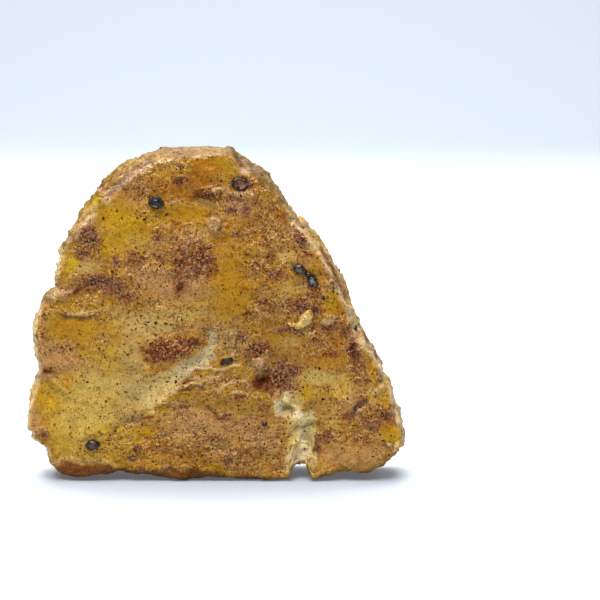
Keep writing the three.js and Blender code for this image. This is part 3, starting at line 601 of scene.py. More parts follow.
PEPPERED = [
    (-13.6, 34.4, 5, 2, 0, 0.6), (-8, 35.6, 7, 3, 0, 0.8), (-16, 38.6, 6, 2.8, 0, 0.9),
    (-22, 42.6, 7, 3.4, 0, 0.7), (-31, 28.8, 3, 2, 0, 0.6), (-8, 22.2, 3, 1, 0, 0.6),
    (-22, 12, 5, 1.6, 20, 0.5), (-10, 46, 7, 5, 0, 0.8), (10, 50, 8, 6, 0, 0.8), (9, 40, 8, 6, 0, 0.6),
    (5, 30, 8, 4, 0, 0.7), (15, 23.4, 5, 3.4, 0, 0.8), (22, 18.4, 3.4, 2, 0, 0.6),
    (33, 15, 5, 4, -30, 0.7), (-5, 12, 12, 4.4, 0, 0.6), (6, 8, 9, 5, 0, 0.6), (0, 62.6, 8, 3, 0, 0.6),
    (-27, 52, 4.4, 4, 0, 0.8), (-16, 57.8, 3, 1.2, 0, 0.5), (-16.4, 62.6, 3, 1.6, 0, 0.7),
    (24, 30, 7, 5, 0, 0.5), (-29, 36, 5, 2, 0, 0.4), (13, 57.6, 3, 3, 0, 0.7),
]

# Single specks of coarse pepper: x, z and how wide they are.
COARSE_PEPPER = [
    (-15.1, 34.2, 0.6), (-13.0, 34.5, 0.7), (-10.7, 34.3, 0.4), (-11.7, 33.0, 0.4), (-12.9, 31.9, 0.4),
    (-14.7, 30.8, 0.4), (-17.2, 33.3, 0.4), (-18.9, 35.7, 0.4), (-16.0, 36.1, 0.4), (-18.8, 36.8, 0.4),
    (-19.6, 28.3, 0.4), (-19.1, 27.8, 0.4), (-19.7, 30.0, 0.4), (-18.0, 25.1, 0.4), (-22.9, 25.0, 0.3),
    (-31.2, 28.9, 0.5), (-31.9, 29.6, 0.4), (-29.0, 27.5, 0.4), (-29.4, 30.0, 0.4), (-35.4, 24.8, 0.5),
    (-33.0, 29.3, 0.4), (-34.0, 29.9, 0.3), (-27.6, 21.8, 0.5), (-28.3, 22.2, 0.4), (-21.2, 21.4, 0.4),
    (-27.0, 20.6, 0.3), (-25.0, 19.4, 0.3), (-25.6, 17.4, 0.3), (-24.4, 16.3, 0.3), (-31.6, 16.4, 0.3),
    (-31.1, 16.0, 0.3), (-33.6, 15.1, 0.4), (-31.3, 12.1, 0.4), (-27.2, 11.9, 0.4), (-25.0, 11.1, 0.4),
    (-24.5, 10.5, 0.4), (-21.6, 11.3, 0.5), (-22.7, 10.4, 0.4), (-28.1, 6.9, 0.4), (-31.3, 19.4, 0.3),
    (-38.0, 33.0, 0.4), (-24.0, 35.2, 0.3), (-25.9, 35.4, 0.3), (-10.5, 21.9, 0.4), (-8.7, 21.9, 0.6),
    (-8.6, 23.0, 0.4), (-6.9, 21.6, 0.6), (-3.4, 23.1, 0.6), (-10.0, 19.4, 0.4), (-1.6, 21.6, 0.4),
    (-16.5, 42.4, 0.5), (-14.3, 39.8, 0.4), (-11.9, 42.5, 0.4), (-18.2, 44.0, 0.4), (-15.1, 46.2, 0.4),
    (-21.3, 58.6, 0.4), (-24.2, 57.1, 0.6), (-20.2, 57.1, 0.4), (-16.9, 57.1, 0.5), (-15.4, 56.8, 0.6),
    (-15.6, 58.4, 0.3), (-12.7, 59.0, 0.4), (-10.7, 57.9, 0.4), (-11.6, 68.8, 0.3), (-13.8, 65.5, 0.4),
    (-27.3, 58.7, 0.4), (-25.2, 48.6, 0.4), (-29.2, 46.8, 0.4), (-12.2, 48.8, 0.5), (-8.7, 48.1, 0.5),
    (-6.1, 37.8, 0.4), (-8.4, 39.6, 0.3), (-7.3, 39.0, 0.3), (-4.5, 40.8, 0.4), (2.4, 38.4, 0.3),
    (-2.2, 43.3, 0.3), (2.1, 55.2, 0.4), (12.9, 57.3, 0.4), (9.5, 57.4, 0.4), (15.3, 50.0, 0.4),
    (17.1, 49.8, 0.4), (22.6, 49.0, 0.4), (24.4, 47.7, 0.4), (14.2, 38.1, 0.5), (14.8, 38.5, 0.4),
    (24.9, 41.4, 0.4), (25.8, 40.9, 0.4), (22.8, 39.7, 0.4), (23.0, 37.4, 0.4), (22.0, 24.7, 0.6),
    (21.1, 25.0, 0.4), (18.5, 20.7, 0.4), (22.6, 18.1, 0.6), (21.2, 17.4, 0.4), (21.3, 19.0, 0.3),
    (17.7, 19.9, 0.4), (20.8, 14.8, 0.4), (20.1, 17.3, 0.3), (27.9, 18.2, 0.4), (25.9, 12.8, 0.4),
    (25.8, 9.1, 0.4), (28.7, 9.2, 0.3), (38.1, 9.9, 0.3), (35.2, 9.2, 0.3), (36.8, 20.1, 0.4),
    (13.3, 6.4, 0.4), (12.1, 5.4, 0.4), (13.8, 9.1, 0.5), (14.3, 13.0, 0.4), (17.0, 9.1, 0.5),
    (18.8, 7.4, 0.5), (-7.5, 5.7, 0.5), (-1.1, 6.1, 0.4), (-3.8, 12.8, 0.5), (6.2, 12.1, 0.4),
    (4.9, 9.8, 0.3), (11.0, 12.1, 0.4), (8.4, 7.6, 0.3), (-9.0, 13.8, 0.3), (15.2, 10.1, 0.3),
    (-21.2, 6.4, 0.3), (-18.4, 5.4, 0.4), (-32.4, 5.4, 0.3), (16.4, 33.4, 0.4), (22.8, 27.6, 0.4),
    (4.9, 28.7, 0.4), (9.2, 28.0, 0.4), (7.0, 29.9, 0.4), (23.6, 33.2, 0.4), (24.7, 3.1, 0.3),
    (32.3, 32.8, 0.3), (29.2, 14.2, 0.3), (22.2, 9.4, 0.4), (1.4, 30.4, 0.3), (19.8, 11.8, 0.3),
]

# Where the crust is browned more than round it.
BROWNED = [
    (-7, 58.4, 5, 1.4, 3, 0.35), (8.6, 34.2, 5.4, 3, 0, 0.7), (11.6, 37.6, 3.4, 2.4, 0, 0.4),
    (-2.6, 67.6, 3.6, 2.6, 0, 0.3), (-35, 28, 3.4, 2.4, 0, 0.15), (3, 11.2, 4.4, 2.4, 0, 0.55),
    (10.6, 11.6, 3.4, 3.6, 0, 0.35), (12, 33, 5, 1.8, 0, 0.6), (4, 31, 3.6, 3, 0, 0.5),
    (11, 28, 6, 3, 0, 0.95), (11.4, 21.6, 6, 3, 0, 0.5), (-14.6, 63.4, 5.4, 2.6, 0, 0.6),
    (-5.6, 63.4, 5, 2.8, 0, 0.7), (-1, 57.4, 1.6, 1.4, 0, 0.8), (12.6, 60.4, 3.4, 3.6, 40, 0.7),
    (8, 56.4, 3, 2.4, 0, 0.4), (-28, 52.6, 3, 4, 0, 0.5), (-19.4, 42.4, 3.4, 2, 0, 0.6),
    (-7.4, 42, 1.6, 1.6, 0, 0.6), (-5, 30, 2.4, 1.4, 0, 0.6), (-18.4, 24.6, 2.6, 2.6, 0, 0.4),
    (4.6, 17.2, 4, 1.2, 0, 0.5), (9.8, 4.8, 3.6, 2.6, 0, 0.5), (-5, 5, 4.6, 1.6, 0, 0.5),
    (24, 33.4, 2.6, 1.4, 0, 0.6), (19.8, 44, 2.4, 2.2, 0, 0.6), (30.2, 27, 1.8, 5, 20, 0.6),
    (17.6, 53.6, 3, 2, -40, 0.5), (33.4, 14, 3.6, 2, 0, 0.5), (-36.4, 9.8, 1.8, 2, 0, 0.6),
    (22.4, 9.2, 1.8, 3, 0, 0.5),
]
# Small flakes that are pinker than the dough round them, partly painted highlight.
PINKISH_AND_HIGHLIGHTS = [
    (29.6, 31.2, 1.4, 1.6, 20, 0.8), (28.2, 36.6, 0.7, 1.6, 0, 0.6), (24, 35, 1.5, 0.8, 20, 0.7),
    (17.6, 54.4, 1.4, 1.4, -40, 0.6), (30.6, 15.6, 1, 0.6, 0, 0.8), (6, 67.2, 1, 0.9, 0, 0.7),
    (14.6, 19.6, 2.6, 0.7, 0, 0.5), (-28.6, 56, 2, 1.4, 30, 0.6), (-32.5, 41.2, 1.6, 1.2, 0, 0.7),
    (9.2, 25.9, 1.8, 1.3, 0, 0.6),
]

# How high the darker underside shows along x: browner crust, partly painted shade by the floor.
UNDERSIDE_TOP = [
    (-35, 3.0), (-32, 4.4), (-26, 4.2), (-20, 3.4), (-14, 2.9), (-8, 2.9), (0, 2.8), (3, 1.6), (14, 1.2),
    (16, 0.6), (20, 1.0), (26, 1.9), (34, 2.9), (38, 5.0),
]

# Lines of painted shade along cracks, under torn layers and beside the raised flake, and pale lips of torn
# layers, partly painted highlight: path, half width, strength.
PAINTED_SHADE_LINES = [
    ([(20.7, 33.2), (20.9, 35.0), (20.4, 36.6), (19.2, 37.3)], 0.45, 0.9),
    ([(15.4, 33.0), (16.8, 32.9), (18.2, 32.6)], 0.4, 0.7),
    ([(-5.0, 61.1), (-3.1, 61.7), (-1.2, 61.9), (0.7, 62.4)], 0.45, 0.9),
    ([(-21.7, 11.4), (-20.6, 12.2), (-18.9, 13.3), (-16.3, 13.9), (-13.8, 14.3)], 0.4, 0.6),
    ([(-33.8, 36.1), (-31.2, 35.7), (-28.3, 35.3), (-25.3, 35.9)], 0.4, 0.75),
    ([(2.5, 18.6), (4.2, 18.9), (6.1, 18.6)], 0.4, 0.7),
    ([(8.9, 16.5), (10.1, 16.8), (11.4, 16.5)], 0.35, 0.6),
    ([(0.1, 14.1), (2.0, 13.5), (4.2, 13.0)], 0.35, 0.6),
    ([(20.8, 7.6), (21.2, 6.7), (21.8, 5.8)], 0.35, 0.9),
    ([(-38.5, 24.5), (-37.4, 24.1), (-35.9, 24.0)], 0.45, 0.5),
    ([(36.8, 20.9), (35.1, 19.8), (33.4, 18.3), (31.0, 16.3)], 0.5, 0.5),
    ([(-10.0, 19.6), (-7.0, 19.9), (-4.6, 20.8), (-2.6, 20.3)], 0.3, 0.75),
    ([(-6.0, 21.9), (-3.4, 22.0), (-1.2, 22.2), (0.6, 21.6), (2.8, 22.6)], 0.3, 0.6),
    ([(-7.0, 23.2), (-4.6, 23.8), (-1.8, 23.7), (2.2, 24.1)], 0.3, 0.45),
    ([(0.6, 19.2), (0.5, 20.4)], 0.3, 0.6),
    ([(-1.8, 16.4), (-0.2, 15.2), (0.2, 14.0), (2.4, 14.3)], 0.3, 0.7),
    ([(28.6, 14.8), (30.2, 16.4), (31.9, 17.9)], 0.65, 1.0),
    ([(-6.4, 46.0), (-5.2, 43.6), (-6.6, 41.2), (-8.4, 40.2)], 0.3, 0.4),
    ([(6.0, 9.0), (8.6, 8.9), (11.0, 9.6), (13.4, 10.4)], 0.3, 0.5),
    ([(-14.6, 9.4), (-11.6, 9.9), (-8.2, 11.4)], 0.3, 0.45),
]
# Pale lips of torn layers: partly paler crust, partly painted highlight along their edges.
PALE_LIPS_AND_HIGHLIGHTS = [
    ([(-0.5, 63), (0.3, 63.5), (2, 63.2), (3.9, 62.6), (5.4, 62.1), (6.8, 62.5), (8, 61.7)], 0.35, 0.8),
    ([(-36.4, 23.2), (-35.0, 22.4), (-33.8, 21.2), (-31.6, 19.8)], 0.3, 0.3),
    ([(-6.0, 24.3), (-2.5, 24.8), (1.5, 24.9), (5.0, 25.4)], 0.3, 0.85),
    ([(-9.2, 20.3), (-6.5, 20.7), (-4.5, 21.7), (-2.0, 21.4)], 0.3, 0.85),
    ([(-4.6, 22.9), (-1.5, 22.8), (1.4, 23.3)], 0.3, 0.6),
    ([(0.4, 19.9), (1.4, 20.9), (3.6, 21.8), (6.0, 22.0), (7.6, 21.2)], 0.3, 0.7),
    ([(1.4, 26.9), (3.0, 27.5), (4.2, 27.6)], 0.25, 0.6),
    ([(-9.4, 17.2), (-6.4, 17.0), (-4.0, 17.4)], 0.3, 0.5),
    ([(-35.0, 4.4), (-32.0, 5.2), (-28.0, 5.0), (-25.0, 4.9), (-21.6, 4.0)], 0.35, 0.5),
    ([(3.0, 19.4), (5.0, 19.7), (7.2, 19.3)], 0.3, 0.5),
    ([(6.0, 9.6), (8.6, 9.6), (11.0, 10.3)], 0.25, 0.5),
    ([(-32.3, 36.6), (-29.3, 36.3), (-26.3, 36.4)], 0.45, 0.6),
    ([(37.4, 21.9), (35.1, 21.0), (33.0, 19.4)], 0.4, 0.5),
]

# Folds along the edge of the face, by colour: path, half width, strength. The cream folds are partly painted
# highlight on their ridges, the brown ones partly painted shade in their grooves.
YELLOW_FOLDS = [
    ([(-27.0, 60.0), (-25.0, 63.6), (-22.4, 66.6), (-19.6, 68.6), (-17.0, 69.8)], 1.5, 1.0),
    ([(-14.0, 70.6), (-10.0, 71.2)], 0.8, 1.0),
    ([(-5.0, 71.2), (-1.0, 71.6), (1.4, 71.2)], 0.9, 1.0),
    ([(-31.4, 46.0), (-30.6, 49.0)], 0.8, 0.8),
    ([(8.6, 68.2), (11.4, 65.6), (13.6, 62.4)], 0.6, 0.5),
]
GREY_FOLDS = [
    ([(-23.2, 61.8), (-20.4, 64.6), (-17.6, 66.8), (-14.8, 68.9)], 0.8, 0.95),
    ([(4.6, 70.2), (7.4, 68.6), (9.8, 66.2)], 0.6, 0.6),
]
CREAM_FOLDS_AND_HIGHLIGHTS = [
    ([(-19.4, 64.6), (-16.0, 67.0), (-12.4, 69.0), (-9.0, 69.9)], 0.5, 0.6),
    ([(-30.4, 53.6), (-28.2, 56.0), (-26.4, 57.6)], 0.7, 0.7),
    ([(-23.6, 61.2), (-22.6, 60.6)], 0.6, 0.6),
    ([(-27.0, 59.2), (-26.0, 59.8)], 0.6, 0.6),
    ([(20.6, 51.2), (22.8, 47.6), (24.8, 44.0), (26.8, 40.2), (28.2, 37.4)], 0.45, 0.8),
    ([(16.4, 55.6), (18.2, 53.6), (20.2, 51.4)], 0.6, 0.7),
    ([(28.4, 37.6), (29.0, 35.6)], 0.6, 0.6),
    ([(30.2, 32.6), (31.2, 30.4), (32.2, 29.2)], 0.7, 0.8),
    ([(33.0, 28.4), (34.4, 26.2), (35.4, 24.0)], 0.5, 0.9),
    ([(37.0, 20.6), (38.0, 17.4), (38.8, 13.0)], 0.4, 0.8),
]
BROWN_FOLDS_AND_SHADE = [
    ([(22.4, 50.6), (24.4, 46.6), (26.4, 42.6), (28.0, 39.0)], 0.4, 1.0),
    ([(30.8, 33.8), (32.6, 30.6), (34.4, 27.2)], 0.4, 0.9),
    ([(34.0, 24.4), (36.0, 22.2)], 0.4, 0.6),
    ([(-24.8, 64.0), (-24.0, 63.2)], 0.6, 0.8),
    ([(14.0, 61.4), (16.2, 58.0), (18.6, 55.0)], 0.35, 0.5),
    ([(37.6, 16.6), (38.4, 12.4)], 0.35, 0.8),
]

# Chips out of the rim: x, z, reach, depth.
CHIPS = [
    (39.9, 6.8, 1, 1.5), (38.3, 5.4, 0.8, 1.1), (36.9, 4.4, 0.7, 0.9), (38, 21.8, 0.9, 0.9),
    (36.4, 26, 0.8, 0.6), (-39.9, 10.8, 0.9, 1), (-38, 8.6, 0.5, 0.7), (-36.4, 5.6, 0.5, 0.5),
    (-25, 64.6, 0.5, 0.5), (9.6, 69.4, 0.5, 0.5), (17.4, 57.6, 0.5, 0.6),
]

# The pale crack band: where it runs and its half width there.
PALE_BAND = [(-0.9, 32), (-1, 29.5), (-1.6, 27.8), (-4.2, 26), (-7.6, 24), (-11.4, 21.4), (-14, 18.6)]
PALE_BAND_HALF = [0.9, 1.1, 1.6, 1.7, 1.8, 2.6, 3.0]

# The torn split: a hollow bulb, a plate and a ledge at its top, and a channel down to the arch.
SPLIT_BULB = ((14.4, 16.3), (2.4, 2.6), -0.5)
SPLIT_HOLLOW = ((15.2, 16.0), (1.3, 0.9), -0.9)
SPLIT_PLATE = ((17.3, 14.9), (1.2, 1.1), 0.3)
SPLIT_FOLDS = [
    ([(13.2, 18.6), (12.9, 16.5), (13.4, 14.4)], 0.6, 0.35),
    ([(13.8, 17.4), (15.2, 17.2), (16.5, 16.2)], 0.5, 0.22),
    ([(16.1, 14.1), (17.0, 13.8), (18.3, 13.7)], 0.35, 0.3),
    ([(18.3, 12.2), (17.9, 10.4), (17.6, 8.4), (16.4, 6.6), (15.6, 4.0)], 0.35, 0.45),
    ([(20.9, 12.4), (20.6, 9.8), (20.5, 6.2), (20.6, 2.6)], 0.35, 0.4),
    ([(15.8, 7.4), (17.4, 7.6), (19.2, 7.2)], 0.4, 0.4),
]
SPLIT_LEDGE = ([(16.6, 13.0), (17.8, 12.3), (19.0, 12.4), (20.4, 12.8), (22.2, 13.4)], 5, -0.9, 0.3)
SPLIT_CHANNEL = [(19.5, 12.8), (19.4, 10.4), (19.1, 7.8), (18.4, 4.2), (18.1, -1)]
CHANNEL_DEPTH = (0.8, 2.0)  # from its top to the arch
CHANNEL_LEFT = (0.8, 2.4)  # where the flank on each side begins and ends
CHANNEL_RIGHT = (0.9, 1.6)
CHANNEL_TOP = (12.4, 14)  # the heights between which it begins
CREAMY = [  # x, z, reach across, reach up, turn, strength
    (16.5, 9.6, 1.2, 4.4, -6, 0.9),
    (15.9, 6.0, 0.9, 2.6, -12, 0.9),
    (20.9, 10.2, 0.6, 3.2, 0, 0.9),
    (20.7, 4.6, 0.4, 3.2, 0, 0.8),
    (17.0, 18.0, 2.2, 1.0, -20, 0.5),
]
# Painted shadow in the split's hollows, its channel and under its ledge.
CRUMB_HOLLOW_SHADOWS = [
    (15.2, 16.1, 1.3, 0.8, -25, 1.0),
    (14.3, 17.6, 0.6, 0.5, 0, 0.4),
    (19.4, 10.2, 0.8, 2.4, 0, 0.55),
    (19.4, 12.3, 1.6, 0.3, 10, 0.7),
]
CRUMB_PALE = [
    (13.4, 16.2, 0.9, 1.8, 0, 0.8),
    (15.0, 18.9, 1.6, 0.7, -10, 0.5),
    (18.6, 10.6, 1.0, 2.0, 0, 0.7),
]
CRUMB_ROSY = [
    (17.4, 14.9, 1.0, 1.0, -40, 0.9),
    (12.8, 16.4, 0.5, 1.8, 0, 0.4),
    (17.6, 5.8, 2.0, 1.4, 0, 0.7),
]
PALE_SPLIT = [
    (14.6, 18.8), (14.3, 16.3), (16.6, 15), (18.8, 13.6), (19.2, 11.4), (18.8, 8.4), (17.8, 5.8), (17.6, 2),
]
PALE_SPLIT_HALF = [0.8, 1.9, 1.7, 2.0, 1.6, 1.7, 2.3, 2.2]


# A patch is whole up to the first share of its reach and gone past the second.
PATCH_CORE, PATCH_END = 0.3, 1.6


def covered(points, patches, wobble):
    """How much the patches cover each point together, with uneven borders."""
    bare = np.ones(len(points))
    for at_x, at_z, reach_across, reach_up, turn, strength in patches:
        angle = math.radians(turn)
        x = points[:, 0] - at_x
        z = points[:, 2] - at_z
        across = (x * math.cos(angle) + z * math.sin(angle)) / reach_across
        up = (-x * math.sin(angle) + z * math.cos(angle)) / reach_up
        bare *= 1 - strength * (1 - smooth(np.hypot(across, up) + wobble, PATCH_CORE, PATCH_END))
    return 1 - bare


def lined(x, z, lines):
    """The cover of thin lines taken together."""
    bare = np.ones(len(x))
    for path, half, strength in lines:
        distance, _, _ = near_path(x, z, path)
        bare *= 1 - strength * np.exp(-((distance / half) ** 2))
    return 1 - bare


def banded(x, z, path, halves, wobble, soft=0.35):
    """The cover of a band whose half width changes along its path."""
    distance, _, along = near_path(x, z, path)
    corners = np.array(path)
    runs = np.concatenate([[0], np.cumsum(np.hypot(*np.diff(corners, axis=0).T))])
    half = np.interp(along * runs[-1], runs, halves)
    return 1 - smooth(distance / half + wobble, 0.95 - soft, 0.95 + soft)


# ---------------------------------------------------------------- finishes of the dough

SHEEN = 0.02  # what the glaze's own reflection adds, so the dough under it is that much deeper
DEEPEST = 0.004


def shade(code):
    """The linear colour under the glaze of dough that looks like a six-figure code such as b98f58."""
    parts = np.array([int(code[n:n + 2], 16) / 255 for n in (0, 2, 4)])
    linear = np.where(parts <= 0.04045, parts / 12.92, ((parts + 0.055) / 1.055) ** 2.4)
    return np.maximum(linear - SHEEN, DEEPEST)


BISCUIT = shade("a27530")
BISCUIT_LIGHT = shade("b78b44")
BISCUIT_DEEP = shade("8e5f1e")
PALE_DOUGH = shade("b59a60")
LEMON_DOUGH = shade("b89a4e")
ROSY_CRUST = shade("ae8354")
HONEY_GLAZE = shade("aa8326")
AMBER_GLAZE = shade("a36e14")
BRIGHT_GLAZE = shade("c8982a")
BAND_DOUGH = shade("b4a47a")
BAND_GOLD = shade("ccb070")
PINK_FLAKE_AND_HIGHLIGHT = shade("cfae92")
FOLD_GREY = shade("a58a76")
# Fold colours: the cream one partly painted highlight, the brown one partly painted shade.
FOLD_CREAM_AND_HIGHLIGHT = shade("d8bc8c")
FOLD_BROWN_AND_SHADE = shade("6a3a1c")
CRUMB = shade("e6d294")
# The colour of the painted shadow in the split.
CRUMB_SHADOW = shade("6a5424")
CRUMB_GREY = shade("c6baa0")
CRUMB_ROSE = shade("dcc3a4")
CREAM_DOUGH = shade("d2b872")
# The colour of the pale lips, partly painted highlight.
LIP_AND_HIGHLIGHT = shade("cfae80")
RIM_ROSE = shade("b39078")
RIM_YELLOW = shade("bf982e")
RIM_BEIGE = shade("b89c60")
RIM_GREY = shade("a99775")
RIM_PALE = shade("e2cc9c")
UNDERSIDE_BROWN_AND_SHADE = shade("6a3c1c")
# The colour of painted shade in the cracks and under the torn layers.
CRACK_SHADE = shade("4a2716")
TOAST_RED = shade("783e18")
TOAST_PLUM = shade("7c523e")
TOAST_DARK = shade("401c0a")
# The light toast grains, partly painted glints.
TOAST_GRAIN_AND_GLINT = shade("c09460")
SPECK_BROWN = shade("5a2e0e")
SCORCH_BROWN = shade("42200f")
# Light sand, partly painted glints.
LIGHT_SAND_AND_GLINT = shade("e0b876")
SMUDGE = (0.64, 0.48, 0.34)  # what a brown smudge leaves of the dough's red, green and blue
PEPPER_DUST = shade("28130a")
BROWNING = (0.66, 0.54, 0.44)  # what browning leaves of the dough's red, green and blue
BACK_DEEPER = (0.25, 0.3, 0.35)  # how much darker the back is painted
TOP_PAINTED_SHADE = (0.715, 0.745, 0.79)  # painted shade where the dough faces up to the light

GROUND_FINISHES = [
    ("pale", PALE_DOUGH), ("lemon", LEMON_DOUGH), ("rosy", ROSY_CRUST), ("honey", HONEY_GLAZE),
    ("amber", AMBER_GLAZE), ("bright", BRIGHT_GLAZE),
]
COVERS = {
    "pale": PALE, "lemon": LEMON, "rosy": ROSY, "honey": HONEY, "amber": AMBER, "bright": BRIGHT,
    "toasted": TOASTED, "plum": PLUM, "scorched": SCORCHED, "rough": ROUGH, "calm": CALM,
    "peppered": PEPPERED,
}
EDGE_FOLDS = [
    (YELLOW_FOLDS, RIM_YELLOW), (GREY_FOLDS, FOLD_GREY), (CREAM_FOLDS_AND_HIGHLIGHTS, FOLD_CREAM_AND_HIGHLIGHT),
    (BROWN_FOLDS_AND_SHADE, FOLD_BROWN_AND_SHADE),
]


def blend(colour, finish, cover):
    return colour + (finish - colour) * cover[:, None]


def number_attribute(mesh, name, values):
    attribute = mesh.attributes.new(name, "FLOAT", "POINT")
    attribute.data.foreach_set("value", values.astype(np.float32))


def colour_attribute(mesh, name, colours):
    attribute = mesh.attributes.new(name, "FLOAT_COLOR", "POINT")
    full = np.concatenate([colours, np.ones((len(colours), 1))], axis=1)
    attribute.data.foreach_set("color", full.astype(np.float32).ravel())


def new_mesh(name, points, faces):
    """A mesh object from points in millimetres and triangles or quads, smooth all over."""
    mesh = bpy.data.meshes.new(name)
    faces = np.asarray(faces)
    sides = faces.shape[1]
    mesh.vertices.add(len(points))
    mesh.vertices.foreach_set("co", (points * MM).astype(np.float32).ravel())
    mesh.loops.add(faces.size)
    mesh.loops.foreach_set("vertex_index", faces.astype(np.int32).ravel())
    mesh.polygons.add(len(faces))
    mesh.polygons.foreach_set("loop_start", np.arange(0, faces.size, sides, dtype=np.int32))
    mesh.polygons.foreach_set("use_smooth", np.ones(len(faces), bool))
    mesh.update(calc_edges=True)
    piece = bpy.data.objects.new(name, mesh)
    bpy.context.scene.collection.objects.link(piece)
    return piece


# ---------------------------------------------------------------- the crust

# The fine relief: the size of each form and how far it stands out or, below 0, sinks in.
WAVE_SIZE, WAVE_RISE = (4.2, 4.2, 3.4), 0.34
GRIT_SIZE, GRIT_RISE = 1.2, 0.22
TEAR_SIZE, TEAR_RISE = (5.5, 3, 3.4), 0.42
WRINKLE_SIZE, WRINKLE_RISE = (4.4, 3.4, 3.0), -0.28
TOAST_DOME_SIZE, TOAST_DOME_RISE = 0.95, 0.24
DOME_SIZE, DOME_RISE = 1.6, 0.26
PIT_SIZE, PIT_RISE = 1.5, -0.4
RIM_WAVE_SIZE, RIM_WAVE_RISE = (2.6, 1.4, 2.6), 0.42
RIM_TEAR_SIZE, RIM_TEAR_RISE = (3.4, 1.5, 3.4), 0.5
FOLD_RISES = [(CREAM_FOLDS_AND_HIGHLIGHTS, 0.35), (BROWN_FOLDS_AND_SHADE, -0.45), (GREY_FOLDS, -0.4)]
LIP_RISE, DARK_LINE_RISE = 0.3, -0.3
LAYERS_DEEP, LAYER_EDGE = 2.4, 0.2  # how many thin layers a grain's rise holds, and how wide their edges are
DRIFT, DRIFT_SIZE = 0.6, 2.6  # how far the borders of the painted places wander


def torn_split(x, z):
    """The split's fine shape: a hollow bulb, a ledge, and a channel that deepens to the arch."""
    rise = swell(x, z, *SPLIT_BULB) + swell(x, z, *SPLIT_HOLLOW) + swell(x, z, *SPLIT_PLATE)
    rise += total(groove, SPLIT_FOLDS, x, z)
    rise += ledge(x, z, *SPLIT_LEDGE)
    distance, side, along = near_path(x, z, SPLIT_CHANNEL)
    depth = CHANNEL_DEPTH[0] + (CHANNEL_DEPTH[1] - CHANNEL_DEPTH[0]) * along
    flank = np.where(side > 0, smooth(distance, *CHANNEL_LEFT), smooth(distance, *CHANNEL_RIGHT))
    return rise - depth * (1 - flank) * smooth(-z, -CHANNEL_TOP[1], -CHANNEL_TOP[0])


def lifted_foot(points):
    """Lifts the front of the underside clear of what the cracker stands on."""
    x, y, z = points.T
    lift = np.interp(x, *zip(*FOOT_LIFT)) * smooth(-y, -3, 4)
    points[:, 2] = z + lift * np.clip(1 - z / FOOT_FADE, 0, 1)
    return points


def chipped_rim(points):
    """Draws the rim in towards the middle where small chips have broken off."""
    places = seen(points)
    inward = CENTRE - points[:, [0, 2]]
    inward /= np.maximum(np.linalg.norm(inward, axis=1), 1)[:, None]
    for at_x, at_z, reach, depth in CHIPS:
        near = np.exp(-((np.hypot(places[:, 0] - at_x, places[:, 2] - at_z) / reach) ** 4))
        points[:, [0, 2]] += inward * (depth * near)[:, None]
    return points


def uneven_skin(direction):
    """The skin of the solid, its arch opened, its foot lifted and its rim chipped."""
    return chipped_rim(open_arch(lifted_foot(skin_points(direction))))


def torn_layers(points, size, layer):
    """Thin layers that lie over one another: a steep edge, then a slow fall to the next."""
    level = LAYERS_DEEP * grain(points, size, layer, 3)
    share = level - np.floor(level)
    return smooth(share, 0, LAYER_EDGE) - share


def fine_relief(points, facing, cover):
    """How far each point stands out of the smooth skin."""
    away = (1 - facing) * smooth(points[:, 2], 0.2, 2)
    rough = 0.12 + 0.88 * cover["rough"]
    rise = WAVE_RISE * grain(points, WAVE_SIZE, 7, 2)
    rise += GRIT_RISE * rough * grain(points, GRIT_SIZE, 9, 2)
    rise += TEAR_RISE * (facing * rough + 0.3 * away) * torn_layers(points, TEAR_SIZE, 61)
    wrinkle = 1 - np.abs(grain(points, WRINKLE_SIZE, 31, 3))
    rise += WRINKLE_RISE * facing * smooth(wrinkle, 0.84, 1.0) * (0.4 + 0.6 * rough)
    domes, _ = pebbles(points, TOAST_DOME_SIZE, 2)
    rise += TOAST_DOME_RISE * (domes - 0.6) * cover["toasted"]
    domes, which = pebbles(points, DOME_SIZE, 5)
    rise += DOME_RISE * (domes - 0.7) * smooth(which, 0.3, 0.8) * (1 - cover["band"]) * rough
    pits, which = pebbles(points, PIT_SIZE, 15)
    rise += PIT_RISE * smooth(pits, 0.84, 1.0) * smooth(which, 0.7, 0.8) * (0.3 + 0.7 * rough)
    rise += away * RIM_WAVE_RISE * grain(points, RIM_WAVE_SIZE, 12, 3)
    rise += away * RIM_TEAR_RISE * torn_layers(points, RIM_TEAR_SIZE, 71)
    x, y, z = seen(points).T
    front = smooth(-y, -2, 1)
    for folds, fold_rise in FOLD_RISES:
        rise += front * fold_rise * lined(x, z, folds)
    rise += facing * (LIP_RISE * lined(x, z, PALE_LIPS_AND_HIGHLIGHTS) + DARK_LINE_RISE * lined(x, z, PAINTED_SHADE_LINES))
    return rise


def ground_dough(points, middle, cover):
    """Biscuit, lighter and deeper by place, with the ground finishes over it."""
    broad = grain(points, 9, 20, 2)
    colour = np.tile(BISCUIT, (len(points), 1))
    colour = blend(colour, BISCUIT_LIGHT, 0.8 * smooth(0.6 * broad + middle, 0, 0.8))
    colour = blend(colour, BISCUIT_DEEP, 0.8 * smooth(-0.6 * broad + middle, 0.1, 0.8))
    honeyed = smooth(grain(points, 5, 24, 2), 0.05, 0.5) * (1 - cover["painted"])
    colour = blend(colour, HONEY_GLAZE, 0.6 * honeyed)
    for name, finish in GROUND_FINISHES:
        colour = blend(colour, finish, 0.95 * cover[name])
    return colour


